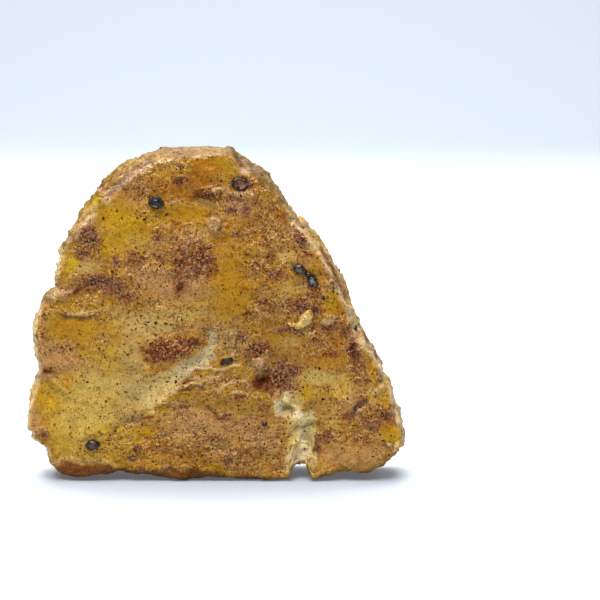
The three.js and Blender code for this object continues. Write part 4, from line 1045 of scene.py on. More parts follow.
def rim_dough(points, ground):
    """The rim: beige and yellow, greyer at the right, rosy along the seam, darker in patches of painted
    shade for its crags.
    """
    x, y, _ = points.T
    side = smooth(x, -8, 22)
    outer = smooth(y + 2.5 * grain(points, 5, 40, 2), SEAM_AT - 0.5, SEAM_AT + 2.5)
    seam = np.exp(-(((y - SEAM_AT) / 1.3) ** 2))
    rim = blend(ground, RIM_BEIGE, 0.85 * smooth(grain(points, 5, 33, 2), -0.8, 0))
    rim = blend(rim, RIM_GREY, 0.8 * side * smooth(grain(points, 4, 35, 2), -0.5, 0.2))
    yellowed = smooth(grain(points, (4, 2, 4), 34, 3) + 0.5 * outer - 0.4 * side, -0.2, 0.7)
    rim = blend(rim, RIM_YELLOW, (0.9 - 0.3 * side) * yellowed)
    rosy = seam * (1 - 0.7 * side) * smooth(grain(points, 4, 27, 2), -0.6, 0.1)
    rim = blend(rim, RIM_ROSE, 0.4 * rosy)
    # Painted shade of the rim's crags, in uneven patches.
    crag_shade = smooth(-grain(points, (2.4, 1.2, 2.4), 36, 3), 0, 0.5)
    rim *= (1.1 - 0.35 * crag_shade)[:, None]
    near_face = smooth(4 * grain(points, (5, 3, 5), 39, 3) - y, 1, 5)
    return blend(rim, RIM_PALE, 0.75 * smooth(-x, 30, 35) * near_face)


def back_dough(points, colour, behind):
    """The colour with the back rosier and more amber in places, and darker all over."""
    colour = blend(colour, ROSY_CRUST, 0.7 * behind * smooth(grain(points, 7, 64, 2), 0, 0.5))
    colour = blend(colour, AMBER_GLAZE, 0.35 * behind * smooth(grain(points, 9, 66, 2), 0, 0.5))
    return colour * (1 - behind[:, None] * np.array(BACK_DEEPER))


def underside_dough(points, colour, middle):
    """The colour with the underside browner and darker, in streaks along x: partly its own crust, partly
    painted shade by the floor, darkest left of the arch.
    """
    x, _, z = points.T
    below = smooth(np.interp(x, *zip(*UNDERSIDE_TOP)) + 0.6 * middle - z, -0.5, 0.5)
    streak = 1 + 0.3 * grain(points, (6, 3, 0.9), 38, 2)
    # Painted shade by the floor, darkest left of the arch.
    painted_shadow = smooth(x, -18, -14) * smooth(-x, -4, 0)
    under = UNDERSIDE_BROWN_AND_SHADE * (streak * (1 - 0.35 * painted_shadow))[:, None]
    return blend(colour, under, 0.85 * below)


def torn_dough(points, colour, facing, middle, cover):
    """The colour with the pale band, the crumb of the split with painted shadow in its hollows, the lips of
    the cracks, partly painted highlight, and painted shade along them.
    """
    x, _, z = points.T

    def patched(patches):
        return facing * covered(points, patches, 0.3 * middle)

    band = BAND_DOUGH + (BAND_GOLD - BAND_DOUGH) * smooth(-x, 6, 11)[:, None]
    colour = blend(colour, band, 0.95 * cover["band"])
    colour = blend(colour, CREAM_DOUGH, 0.9 * patched(CREAMY))
    crumb = CRUMB * (1 + 0.16 * np.clip(middle + grain(points, 1.1, 55, 2), -1, 1))[:, None]
    colour = blend(colour, crumb, 0.95 * cover["crumb"])
    colour = blend(colour, CRUMB_GREY, 0.8 * patched(CRUMB_PALE))
    # Painted shadow in the split's hollows.
    colour = blend(colour, CRUMB_SHADOW, 0.8 * patched(CRUMB_HOLLOW_SHADOWS))
    colour = blend(colour, CRUMB_ROSE, patched(CRUMB_ROSY))
    # Pale lips, partly painted highlight.
    colour = blend(colour, LIP_AND_HIGHLIGHT, facing * lined(x, z, PALE_LIPS_AND_HIGHLIGHTS))
    # Painted shade along the cracks, under the torn layers and beside the flake.
    return blend(colour, CRACK_SHADE, facing * lined(x, z, PAINTED_SHADE_LINES) * smooth(middle, -0.5, 0.2))


def painted_dough(points, facing, up, cover):
    """The dough's colour at each point: the ground, then the rim, the back and each finish over it."""
    x, y, z = points.T
    away = 1 - facing
    middle = grain(points, 2.8, 22, 3)
    colour = ground_dough(points, middle, cover)
    on_rim = away * (1 - cover["behind"]) * smooth(z, 4, 9)
    colour = blend(colour, rim_dough(points, colour), on_rim)
    colour = back_dough(points, colour, cover["behind"])
    front = smooth(-y, -2, 1)
    # Edge folds: the cream ones partly painted highlight, the brown ones partly painted shade.
    for folds, finish in EDGE_FOLDS:
        colour = blend(colour, finish, front * lined(x, z, folds))
    # Painted shade: the dough is painted darker where it faces up, less so at the right, against the strong
    # light from above.
    top = smooth(up, 0.2, 0.6) * (0.75 + 0.25 * smooth(away, 0.1, 0.6)) * (1 - 0.6 * smooth(x, 8, 20))
    colour *= 1 - top[:, None] * np.array(TOP_PAINTED_SHADE)
    # Pinker flakes, partly painted highlight.
    colour = blend(colour, PINK_FLAKE_AND_HIGHLIGHT, 0.8 * facing * covered(points, PINKISH_AND_HIGHLIGHTS, 0.5 * middle))
    browned = 0.9 * facing * covered(points, BROWNED, 0.3 * middle)
    colour *= 1 - browned[:, None] * (1 - np.array(BROWNING))
    colour = underside_dough(points, colour, middle)
    # Painted light: the lower face is painted lighter, for the less light that reaches it.
    colour *= (1 + 0.12 * smooth(-z, -22, -8))[:, None]
    # A pale edge where the face turns to the rim, partly painted highlight.
    edge = 4 * facing * away * smooth(grain(points, 2.2, 29, 2), -0.1, 0.4) * smooth(z, 4, 8)
    colour = blend(colour, LIP_AND_HIGHLIGHT, 0.3 * edge)
    return torn_dough(points, colour, facing, middle, cover)


def covers_of(points, normal, facing, drawn, wobble):
    """How much of each finish lies at each point of the skin, by name."""
    x, z = drawn[:, 0], drawn[:, 2]
    cover = {name: facing * covered(drawn, patches, wobble) for name, patches in COVERS.items()}
    cover["painted"] = np.max([cover[name] for name, _ in GROUND_FINISHES], axis=0)
    uneven = 0.35 + 0.4 * grain(points, 6, 37, 2)
    settled = cover["calm"] + 0.4 * smooth(1 - facing, 0.1, 0.7) + 0.5 * smooth(normal[:, 2], 0.2, 0.6)
    cover["rough"] = np.clip(np.maximum(uneven, cover["rough"]) - settled, 0, 1)
    cover["band"] = facing * banded(x, z, PALE_BAND, PALE_BAND_HALF, 0.6 * wobble)
    cover["crumb"] = facing * banded(x, z, PALE_SPLIT, PALE_SPLIT_HALF, 1.4 * wobble, 0.6)
    cover["behind"] = smooth(normal[:, 1], 0.1, 0.6)
    back_toast = smooth(grain(points, 7, 51, 4), 0.15, 0.95)
    cover["toasted"] = np.maximum(cover["toasted"], 0.8 * cover["behind"] * back_toast)
    cover["plum"] = np.maximum(cover["plum"], cover["behind"] * smooth(grain(points, 9, 53, 2), 0, 0.5))
    above_foot = 0.15 + 0.85 * smooth(points[:, 2] - np.interp(x, *zip(*UNDERSIDE_TOP)), -1.5, 0.5)
    for name in ("toasted", "scorched", "peppered", "rough"):
        cover[name] *= (1 - cover["crumb"]) * (1 - 0.8 * cover["band"]) * above_foot
    return cover


def crust():
    """The whole skin of dough as one piece, painted, with what its finish and its flecks go by."""
    direction, triangles = fine_ball(SKIN_FREQUENCY)
    points = uneven_skin(direction)
    normal = vertex_normals(points, triangles)
    facing = smooth(-normal[:, 1], 0.15, 0.75)
    wobble = 0.4 * grain(points, 2.2, 1, 3)
    drift = np.zeros(points.shape)
    drift[:, 0] = DRIFT * grain(points, DRIFT_SIZE, 41, 2)
    drift[:, 2] = DRIFT * grain(points, DRIFT_SIZE, 45, 2)
    cover = covers_of(points, normal, facing, seen(points) + drift, wobble)

    points = points + normal * fine_relief(points, facing, cover)[:, None]
    points = np.clip(points, CRACKER_LOW, CRACKER_HIGH)
    piece = new_mesh("crust", points, triangles)
    dough = painted_dough(seen(points) + drift, facing, normal[:, 2], cover)
    colour_attribute(piece.data, "dough", dough)
    for name in ("toasted", "scorched", "plum", "rough"):
        number_attribute(piece.data, name, cover[name])
    number_attribute(piece.data, "crumb", np.maximum(0.7 * cover["band"], cover["crumb"]))
    peppered = (0.3 + 0.7 * cover["peppered"]) * (1 - 0.8 * cover["crumb"]) * (1 - 0.4 * cover["calm"])
    number_attribute(piece.data, "peppered", peppered)
    return piece


# ---------------------------------------------------------------- seeds and what is baked onto the crust

SEED_LENGTH, SEED_WIDTH, SEED_THICK, SEED_TAPER = 3.5, 2.7, 1.3, 0.35
SEED_ROUND, SEED_RINGS = 36, 20
SEED_RIDGES = [(0.76, 0.12, 0.24), (0.52, 0.12, -0.2), (0.28, 0.12, 0.16)]  # radius, half width, rise

# Each seed of the shown face: place, turn and lean in degrees, size, how far it stands out.
FRONT_SEEDS = [
    ((-12.8, 60.5), -12, 0, 1.0, 0.35),
    ((17.7, 46.1), -15, 20, 0.8, 0.3),
    ((20.5, 43.4), -42, 10, 0.75, 0.3),
    ((2.2, 26.4), 19, 88, 0.92, -0.4),
    ((-26.4, 8.4), 10, 18, 0.92, 0.4),
    ((29.3, 33.5), 40, 0, 0.45, 0.3),
    ((10.3, 12.8), 20, 30, 0.36, 0.25),
    ((19.7, 44.9), -20, 40, 0.5, 0.15),
    ((-33.4, 44.8), 70, 30, 0.5, 0.1),
]
BURST_SEED = ((5.1, 64.5), -8, 0, 1.05, 0.1)
SEED_BLACK = (0.003, 0.003, 0.004)
SEED_MIDDLE = (0.014, 0.012, 0.012)
WORN_AND_HIGHLIT_MIDDLES = {  # seeds whose middle is worn to another colour, partly painted highlight, the last of them the burst one
    1: (0.11, 0.075, 0.04), 2: (0.17, 0.13, 0.1), 4: (0.09, 0.06, 0.04),
    len(FRONT_SEEDS): (0.24, 0.08, 0.03),
}
BACK_SEEDS = 9
BACK_SEED_SPREAD = (0.66 * HALF_WIDTH, 0.3 * HEIGHT)
BACK_SEED_TURN, BACK_SEED_LEAN, BACK_SEED_STAND = 90, 25, 0.3
GOLDEN_ANGLE = math.pi * (3 - math.sqrt(5))


class Skin:
    """Finds the crust's surface over a place of the front or the back."""

    def __init__(self, crust_piece):
        count = len(crust_piece.data.vertices)
        flat = np.empty(count * 3, np.float32)
        crust_piece.data.vertices.foreach_get("co", flat)
        self.points = flat.reshape(-1, 3) / MM
        crust_piece.data.vertex_normals.foreach_get("vector", flat)
        self.normals = flat.reshape(-1, 3)
        self.seen = seen(self.points)

    def at(self, x, z, side=-1, reach=0.9):
        """The surface point seen at (x, z) and its outward direction, as means within reach of it."""
        near = np.hypot(self.seen[:, 0] - x, self.seen[:, 2] - z) < reach
        near &= self.points[:, 1] * side > 0
        outward = self.normals[near].mean(axis=0)
        back = (self.points - self.seen)[near].mean(axis=0)
        place = np.array([x + back[0], self.points[near, 1].mean(), z + back[2]])
        return place, outward / np.linalg.norm(outward)


def ball_mesh(around, rings):
    """A unit ball: points from pole to pole along x, and its triangles."""
    points = [(1, 0, 0)]
    for ring in range(1, rings):
        fall = math.pi * ring / rings
        for step in range(around):
            turn = 2 * math.pi * step / around
            points.append((math.cos(fall), math.sin(fall) * math.cos(turn), math.sin(fall) * math.sin(turn)))
    points.append((-1, 0, 0))
    faces = []
    last = len(points) - 1
    for step in range(around):
        beside = (step + 1) % around
        faces.append((0, 1 + step, 1 + beside))
        faces.append((last, last - around + beside, last - around + step))
        for ring in range(rings - 2):
            a, b = 1 + ring * around + step, 1 + ring * around + beside
            faces += [(a, a + around, b), (b, a + around, b + around)]
    return np.array(points, float), np.array(faces)


def turned(points, axis, degrees):
    """Points turned about the x, y or z axis."""
    a, b = [(1, 2), (2, 0), (0, 1)][axis]
    cosine, sine = math.cos(math.radians(degrees)), math.sin(math.radians(degrees))
    out = points.copy()
    out[:, a] = cosine * points[:, a] - sine * points[:, b]
    out[:, b] = sine * points[:, a] + cosine * points[:, b]
    return out


def stood_on(points, place, outward):
    """Points moved to a place on the crust: -y is turned to the outward direction and z stays up."""
    right = np.cross((0, 0, 1), outward)
    right /= np.linalg.norm(right)
    up = np.cross(outward, right)
    return points @ np.stack([right, -outward, up]) + place


def sesame_seed(size, lean, turn, number, burst=False):
    """A flat teardrop with a raised rim round its face and shallow wrinkles; -y points out of the crust."""
    points, faces = ball_mesh(SEED_ROUND, SEED_RINGS)
    x, y, z = points.T
    narrow = 1 - SEED_TAPER * np.maximum(x, 0) ** 1.5
    shaped = np.stack([x * SEED_LENGTH, y * SEED_THICK, z * narrow * SEED_WIDTH], axis=1) * size / 2
    from_middle = np.hypot(x, z)
    shown = smooth(-y, 0, 0.3)
    for radius, wide, rise in SEED_RIDGES:
        shaped[:, 1] -= size * rise * shown * np.exp(-(((from_middle - radius) / wide) ** 2))
    shaped += 0.08 * grain(shaped, 0.8, 60 + number, 2)[:, None] * points
    if burst:
        shaped[:, 1] += size * 0.9 * shown * np.exp(-((from_middle / 0.5) ** 2))
        shaped[:, 1] += 0.5 * grain(shaped, 0.8, 90, 2) * smooth(from_middle, 0.5, 0.9)
    return turned(turned(shaped, 0, lean), 1, -turn), faces


def joined(name, parts):
    """One piece from several lists of points and faces, kept within the cracker's box."""
    points, faces, count = [], [], 0
    for part_points, part_faces in parts:
        points.append(part_points)
        faces.append(part_faces + count)
        count += len(part_points)
    return new_mesh(name, np.clip(np.concatenate(points), CRACKER_LOW, CRACKER_HIGH), np.concatenate(faces))


def worn_and_highlit_coat(number):
    """The colours of one seed's points: black, with its middle worn in an uneven patch that is partly
    painted highlight.
    """
    ball, _ = ball_mesh(SEED_ROUND, SEED_RINGS)
    patchy = np.hypot(ball[:, 0], ball[:, 2]) + 0.7 * grain(ball, 0.5, 130 + number, 2)
    # The middle, worn lighter and partly painted highlight.
    worn = np.where(ball[:, 1] < 0, 1 - smooth(patchy, 0.4, 0.6), 0)
    middle = np.array(WORN_AND_HIGHLIT_MIDDLES.get(number, SEED_MIDDLE))
    return blend(np.tile(SEED_BLACK, (len(ball), 1)), middle, worn)


def sesame_seeds(skin):
    """All seeds as one piece: those of the face, the burst one in its crater and those of the back."""
    parts = []

    def set_in(at, turn, lean, size, stand, number, side=-1, burst=False):
        place, outward = skin.at(*at, side=side)
        seed, faces = sesame_seed(size, lean, turn, number, burst)
        parts.append((stood_on(seed, place + outward * stand, outward), faces))

    for number, seed in enumerate(FRONT_SEEDS):
        set_in(*seed, number)
    set_in(*BURST_SEED, len(FRONT_SEEDS), burst=True)
    for number in range(BACK_SEEDS):
        reach = math.sqrt((number + 0.5) / BACK_SEEDS)
        around = number * GOLDEN_ANGLE
        at = CENTRE + reach * np.array(BACK_SEED_SPREAD) * (math.cos(around), math.sin(around))
        turn = BACK_SEED_TURN * hashed(number, 3, 1)
        lean = BACK_SEED_LEAN * hashed(number, 5, 1)
        size = 0.85 + 0.15 * hashed(number, 7, 1)
        set_in(at, turn, lean, size, BACK_SEED_STAND, 20 + number, side=1)

    piece = joined("sesame_seeds", parts)
    coats = [worn_and_highlit_coat(number) for number in range(len(parts))]
    colour_attribute(piece.data, "coat", np.concatenate(coats))
    return piece


FLAKES = [  # place, length, thickness and width, how far they stand out, turn
    ((18.7, 34.9), (4.7, 1.5, 2.4), 0.3, 46),
    ((16.1, 34.2), (2.0, 0.6, 0.9), 0.0, -12),
    ((38.1, 8.3), (2.8, 1.2, 1.4), 0.5, 65),
]
CRUMB_LUMPS = [  # place, size across and up, half their thickness, turn
    ((-0.5, 55.8), (2.3, 3.0), 0.85, -15),
    ((-32.8, 40.8), (2.2, 1.7), 0.6, 0),
    ((6.3, 7.7), (0.9, 0.7), 0.4, 0),
    ((-13.2, 45.9), (0.8, 0.8), 0.4, 0),
    ((9.1, 26.1), (3.3, 2.4), 1.1, 10),
    ((30.7, 15.7), (1.3, 0.9), 0.4, 20),
    ((36.9, 8.2), (2.0, 1.2), 0.5, -30),
    ((24.0, 35.2), (2.9, 1.7), 0.8, 30),
]
LUMP_ROUND, LUMP_RINGS = 26, 15
LUMP_MIDDLE = 0.1  # how far the middle of a lump is above the crust
PEPPER_ROUND, PEPPER_RINGS = 9, 6


def rough_lump(size, number, uneven=0.3):
    """A torn crumb about as large as size: a ball pressed towards flat facets and roughened."""
    points, faces = ball_mesh(LUMP_ROUND, LUMP_RINGS)
    boxed = np.sign(points) * np.abs(points) ** 0.9
    boxed /= np.maximum(np.linalg.norm(boxed, axis=1), 1e-9)[:, None] ** 0.5
    shaped = boxed * np.array(size) / 2
    layered = torn_layers(shaped, 0.6 * max(size), 80 + number)
    rough = 0.6 * grain(shaped, 0.4 * max(size), 70 + number, 3) + 0.4 * layered
    return shaped + uneven * min(size) * rough[:, None] * points, faces


def baked_lumps(skin):
    """Crumbs that are baked fast to the face, all as one piece."""
    parts = []
    for number, ((at_x, at_z), (across, up), stand, turn) in enumerate(CRUMB_LUMPS):
        place, outward = skin.at(at_x, at_z)
        lump, faces = rough_lump((across, 2 * stand, up), number)
        parts.append((stood_on(turned(lump, 1, -turn), place + outward * LUMP_MIDDLE, outward), faces))
    return joined("baked_lumps", parts)


def raised_flake(skin):
    """The cream flake that stands out at the right, a sliver beside it and a flake of the rim."""
    parts = []
    for number, (at, size, stand, turn) in enumerate(FLAKES):
        place, outward = skin.at(*at)
        flake, faces = rough_lump(size, 20 + number, 0.5)
        along = 2 * flake[:, 0] / size[0]
        flake[:, 2] = flake[:, 2] * (0.4 + 0.6 * smooth(along, -1, 0.5)) + 0.2 * size[2] * along**2
        parts.append((stood_on(turned(flake, 1, -turn), place + outward * stand, outward), faces))
    return joined("raised_flake", parts)


def coarse_pepper(skin):
    """Single larger specks of pepper, each a small broken grain sunk into the crust."""
    parts = []
    ball, faces = ball_mesh(PEPPER_ROUND, PEPPER_RINGS)
    for number, (x, z, wide) in enumerate(COARSE_PEPPER):
        place, outward = skin.at(x, z, reach=0.5)
        long = 1 + 0.35 * hashed(number, 11, 2)
        shaped = ball * np.array((wide * long, 0.5 * wide, wide / long)) / 2
        shaped += 0.3 * wide * grain(shaped, 0.5 * wide, 100 + number, 1)[:, None] * ball
        parts.append((stood_on(turned(shaped, 1, 180 * hashed(number, 12, 2)), place, outward), faces))
    return joined("coarse_pepper", parts)


# ---------------------------------------------------------------- flecks scattered over the crust


def adder(tree):
    """A function that adds a node to a tree and sets its inputs, each to a value or to another's output."""

    def add(kind, inputs=None, **settings):
        node = tree.nodes.new(kind)
        for key, value in settings.items():
            setattr(node, key, value)
        for key, value in (inputs or {}).items():
            socket = node.inputs[key]
            if isinstance(value, bpy.types.NodeSocket):
                tree.links.new(value, socket)
            else:
                socket.default_value = value
        return node

    return add


def scatter_tree(name):
    """An empty Geometry Nodes tree with the inputs that the flecks need."""
    tree = bpy.data.node_groups.new(name, "GeometryNodeTree")
    inputs = [
        ("Geometry", "NodeSocketGeometry"), ("Density", "NodeSocketFloat"), ("Smallest", "NodeSocketFloat"),
        ("Largest", "NodeSocketFloat"), ("Flatness", "NodeSocketFloat"), ("Seed", "NodeSocketInt"),
        ("Material", "NodeSocketMaterial"),
    ]
    for label, kind in inputs:
        tree.interface.new_socket(label, in_out="INPUT", socket_type=kind)
    tree.interface.new_socket("Geometry", in_out="OUTPUT", socket_type="NodeSocketGeometry")
    return tree


def fleck_nodes(tree, density_name):
    """Fills the tree: small balls on points that are denser where the named attribute is higher."""
    add = adder(tree)
    given = add("NodeGroupInput").outputs
    where = add("GeometryNodeInputNamedAttribute", {"Name": density_name}, data_type="FLOAT").outputs[0]
    density = add("ShaderNodeMath", {0: where, 1: given["Density"]}, operation="MULTIPLY").outputs[0]
    spread = add("GeometryNodeDistributePointsOnFaces", {
        "Mesh": given["Geometry"], "Density": density, "Seed": given["Seed"],
    })
    fleck = add("GeometryNodeMeshIcoSphere", {"Radius": 0.5, "Subdivisions": 1}).outputs["Mesh"]
    draw = add("FunctionNodeRandomValue", {2: 0.0, 3: 1.0, "Seed": 3}, data_type="FLOAT").outputs[1]
    mostly_small = add("ShaderNodeMath", {0: draw, 1: 2.0}, operation="POWER").outputs[0]
    size = add("ShaderNodeMapRange", {
        "Value": mostly_small, "To Min": given["Smallest"], "To Max": given["Largest"],
    }).outputs[0]
    long = add("FunctionNodeRandomValue", {2: 0.6, 3: 1.6, "Seed": 4}, data_type="FLOAT").outputs[1]
    box = add("ShaderNodeCombineXYZ", {0: long, 1: 1.0, 2: given["Flatness"]}).outputs[0]
    scale = add("ShaderNodeVectorMath", {0: box, "Scale": size}, operation="SCALE").outputs[0]
    spin = add("FunctionNodeRandomValue", {
        0: (-0.5, -0.5, -math.pi), 1: (0.5, 0.5, math.pi), "Seed": 5,
    }, data_type="FLOAT_VECTOR").outputs[0]
    spun = add("FunctionNodeRotateRotation", {
        0: spread.outputs["Rotation"], 1: spin,
    }, rotation_space="LOCAL").outputs[0]
    placed = add("GeometryNodeInstanceOnPoints", {
        "Points": spread.outputs["Points"], "Instance": fleck, "Rotation": spun, "Scale": scale,
    }).outputs[0]
    tone = add("FunctionNodeRandomValue", {2: 0.0, 3: 1.0, "Seed": 6}, data_type="FLOAT").outputs[1]
    toned = add("GeometryNodeStoreNamedAttribute", {
        "Geometry": placed, "Name": "tone", "Value": tone,
    }, data_type="FLOAT", domain="INSTANCE").outputs[0]
    real = add("GeometryNodeRealizeInstances", {"Geometry": toned}).outputs[0]
    done = add("GeometryNodeSetMaterial", {"Geometry": real, "Material": given["Material"]}).outputs[0]
    add("NodeGroupOutput", {"Geometry": done})


def scattered(name, ground, material, density_name, per_square_metre, smallest, largest, flatness, seed):
    """Small flecks scattered over a piece where its density attribute is high, as one mesh."""
    tree = scatter_tree(name)
    fleck_nodes(tree, density_name)
    carrier = bpy.data.objects.new(name + "_carrier", ground.data)
    bpy.context.scene.collection.objects.link(carrier)
    modifier = carrier.modifiers.new(name, "NODES")
    modifier.node_group = tree
    values = {
        "Density": per_square_metre, "Smallest": smallest * MM, "Largest": largest * MM,
        "Flatness": flatness, "Seed": seed, "Material": material,
    }
    for item in tree.interface.items_tree:
        if item.item_type == "SOCKET" and item.in_out == "INPUT" and item.name in values:
            modifier[item.identifier] = values[item.name]
    graph = bpy.context.evaluated_depsgraph_get()
    mesh = bpy.data.meshes.new_from_object(carrier.evaluated_get(graph), depsgraph=graph)
    carrier.modifiers.clear()
    bpy.data.objects.remove(carrier)
    mesh.name = name
    piece = bpy.data.objects.new(name, mesh)
    bpy.context.scene.collection.objects.link(piece)
    return piece


# ---------------------------------------------------------------- materials

# Sizes of the glazed dough's grain and specks, in millimetres.
FINE_GRAIN, COARSE_GRAIN, BROAD_GRAIN = 0.3, 0.9, 2.4
SAND = 0.33
SMUDGES = 1.5
DARK_GRAINS, LIGHT_GRAINS = 0.5, 0.45
PEPPER_CELL = 0.55
WET_SPOTS = 0.9
SKIN_GRAIN, SKIN_GRAIN_RISE = 0.5, 0.22
CRISP_GRAIN, CRISP_GRAIN_RISE = 0.42, 0.45

# The same for the specks of the lumps and flakes, and for the seeds.
LUMP_SPECKS = 0.4
SEED_GRAIN, SEED_GRAIN_RISE = 0.4, 0.12

# The colours of their reflections.
DOUGH_TINT = (1.0, 0.82, 0.58)
CRUST_TINT = (1.0, 0.8, 0.6)
SEED_TINT = (1.0, 0.86, 0.88)

SEED_WORN = (0.06, 0.05, 0.045)
PEPPER_DARK, PEPPER_LIGHT = (0.045, 0.013, 0.003), (0.15, 0.05, 0.013)


def nodes_of(name):
    """A new material, and a function that adds a node to it and sets its inputs and links."""
    material = bpy.data.materials.new(name)
    material.use_nodes = True
    material.node_tree.nodes.clear()
    return material, adder(material.node_tree)


def solid(colour):
    return (*colour, 1)


class Finish:
    """A new material, and short ways to add what it is mixed from."""

    def __init__(self, name):
        self.material, self.add = nodes_of(name)
        self.place = self.add("ShaderNodeTexCoord").outputs["Object"]

    def painted(self, name, output="Fac"):
        """What is painted on the piece under this name."""
        return self.add("ShaderNodeAttribute", attribute_name=name).outputs[output]

    def noise(self, size, detail=2.0, offset=0.0):
        """Grain of this size in millimetres. Offsets make grains that are unrelated."""
        moved = self.add("ShaderNodeVectorMath", {
            0: self.place, 1: (offset, offset, offset),
        }, operation="ADD").outputs[0]
        return self.add("ShaderNodeTexNoise", {
            "Vector": moved, "Scale": 1 / (size * MM), "Detail": detail,
        }).outputs["Fac"]

    def ramp(self, value, low, high, to_low=0.0, to_high=1.0):
        return self.add("ShaderNodeMapRange", {
            "Value": value, "From Min": low, "From Max": high, "To Min": to_low, "To Max": to_high,
        }, clamp=True).outputs["Result"]

    def maths(self, operation, a, b):
        return self.add("ShaderNodeMath", {0: a, 1: b}, operation=operation).outputs[0]

    def mix(self, cover, under, over, kind="MIX"):
        mixed = self.add("ShaderNodeMix", {0: cover, 6: under, 7: over}, data_type="RGBA", blend_type=kind)
        return mixed.outputs[2]

    def speckled(self, cover, fine, coarse, low, high):
        """A cover broken up by grain, so that it thins out into specks at its border."""
        fine = self.maths("MULTIPLY", self.maths("SUBTRACT", fine, 0.5), 0.9)
        coarse = self.maths("MULTIPLY", self.maths("SUBTRACT", coarse, 0.5), 1.1)
        return self.ramp(self.maths("ADD", cover, self.maths("ADD", fine, coarse)), low, high)

    def bump(self, height, strength, rise, under=None):
        """A bumpy surface, over another one where that is given."""
        inputs = {"Height": height, "Strength": strength, "Distance": rise * MM}
        if under is not None:
            inputs["Normal"] = under
        return self.add("ShaderNodeBump", inputs).outputs["Normal"]

    def made(self, colour, rough, normal, gloss, tint):
        """The material with this surface."""
        surface = self.add("ShaderNodeBsdfPrincipled", {
            "Base Color": colour,
            "Roughness": rough,
            "Normal": normal,
            "Specular IOR Level": gloss,
            "Specular Tint": solid(tint),
        })
        self.add("ShaderNodeOutputMaterial", {"Surface": surface.outputs[0]})
        return self.material


def sanded(finish, fine, coarse, rough_crust):
    """The painted dough under its grain: tone, dark sand, light sand that is partly painted glints, and
    brown smudges.
    """
    maths, mix, ramp = finish.maths, finish.mix, finish.ramp
    dough = finish.painted("dough", "Color")
    tone = maths("MULTIPLY", ramp(coarse, 0.3, 0.7, 0.8, 1.18), ramp(fine, 0.28, 0.72, 0.62, 1.4))
    grey = finish.add("ShaderNodeCombineColor", {0: tone, 1: tone, 2: tone}).outputs[0]
    base = mix(ramp(rough_crust, 0.0, 0.8, 0.5, 1.0), dough, mix(1.0, dough, grey, "MULTIPLY"))
    sand = finish.noise(SAND, 1.0, 0.7)
    dark = maths("MULTIPLY", ramp(sand, 0.48, 0.34, 0.0, 0.95), ramp(rough_crust, 0.0, 0.8, 0.35, 1.0))
    light = maths("MULTIPLY", ramp(sand, 0.53, 0.66, 0.0, 0.8), ramp(rough_crust, 0.05, 0.7, 0.08, 1.0))
    base = mix(dark, base, mix(1.0, base, solid(SMUDGE), "MULTIPLY"))
    # Light sand, partly painted glints on the grains.
    base = mix(light, base, mix(0.6, base, solid(LIGHT_SAND_AND_GLINT)))
    smudged = maths("ADD", finish.noise(SMUDGES, 4.0, 0.35), maths("MULTIPLY", rough_crust, 0.15))
    return mix(ramp(smudged, 0.53, 0.68, 0.0, 0.6), base, mix(1.0, base, solid(SMUDGE), "MULTIPLY"))


def toasted_over(finish, base, fine, coarse, rough_crust, toasted):
    """Toasted brown that turns to plum, then dark grains and light grains that are partly painted glints,
    then the scorched spots.
    """
    maths, mix, ramp = finish.maths, finish.mix, finish.ramp
    broad = maths("MULTIPLY", maths("SUBTRACT", finish.noise(BROAD_GRAIN, 2.0, 0.2), 0.5), 1.5)
    plum = ramp(maths("ADD", finish.painted("plum"), broad), 0.35, 0.85)
    brown = mix(plum, solid(TOAST_RED), solid(TOAST_PLUM))
    base = mix(finish.speckled(toasted, fine, coarse, 0.15, 0.85), base, brown)

    lumpy = maths("ADD", maths("MULTIPLY", rough_crust, 0.08), maths("MULTIPLY", toasted, 0.068))
    dark = ramp(maths("ADD", finish.noise(DARK_GRAINS, 2.0, 0.45), lumpy), 0.6, 0.7, 0.0, 0.9)
    base = mix(dark, base, mix(toasted, solid(SPECK_BROWN), solid(TOAST_DARK)))
    # Light grains, partly painted glints.
    light = ramp(maths("ADD", finish.noise(LIGHT_GRAINS, 1.5, 0.3), lumpy), 0.67, 0.76, 0.0, 0.6)
    base = mix(maths("MULTIPLY", light, ramp(rough_crust, 0.1, 0.7)), base, solid(TOAST_GRAIN_AND_GLINT))
    scorched = finish.speckled(finish.painted("scorched"), fine, coarse, 0.3, 1.0)
    return mix(scorched, base, solid(SCORCH_BROWN))


def dusted(finish, base, crumb):
    """Flat specks of pepper, at most one to a cell and fainter on the crumb."""
    maths, ramp = finish.maths, finish.ramp
    cells = finish.add("ShaderNodeTexVoronoi", {
        "Vector": finish.place, "Scale": 1 / (PEPPER_CELL * MM), "Randomness": 1.0,
    })
    chance = finish.add("ShaderNodeSeparateColor", {0: cells.outputs["Color"]}).outputs[0]
    chosen = maths("LESS_THAN", chance, maths("MULTIPLY", finish.painted("peppered"), 0.3))
    speck = maths("MULTIPLY", ramp(cells.outputs["Distance"], 0.2, 0.3, 0.85, 0.0), chosen)
    speck = maths("MULTIPLY", speck, ramp(crumb, 0.3, 0.9, 1.0, 0.1))
    return finish.mix(speck, base, solid(PEPPER_DUST))


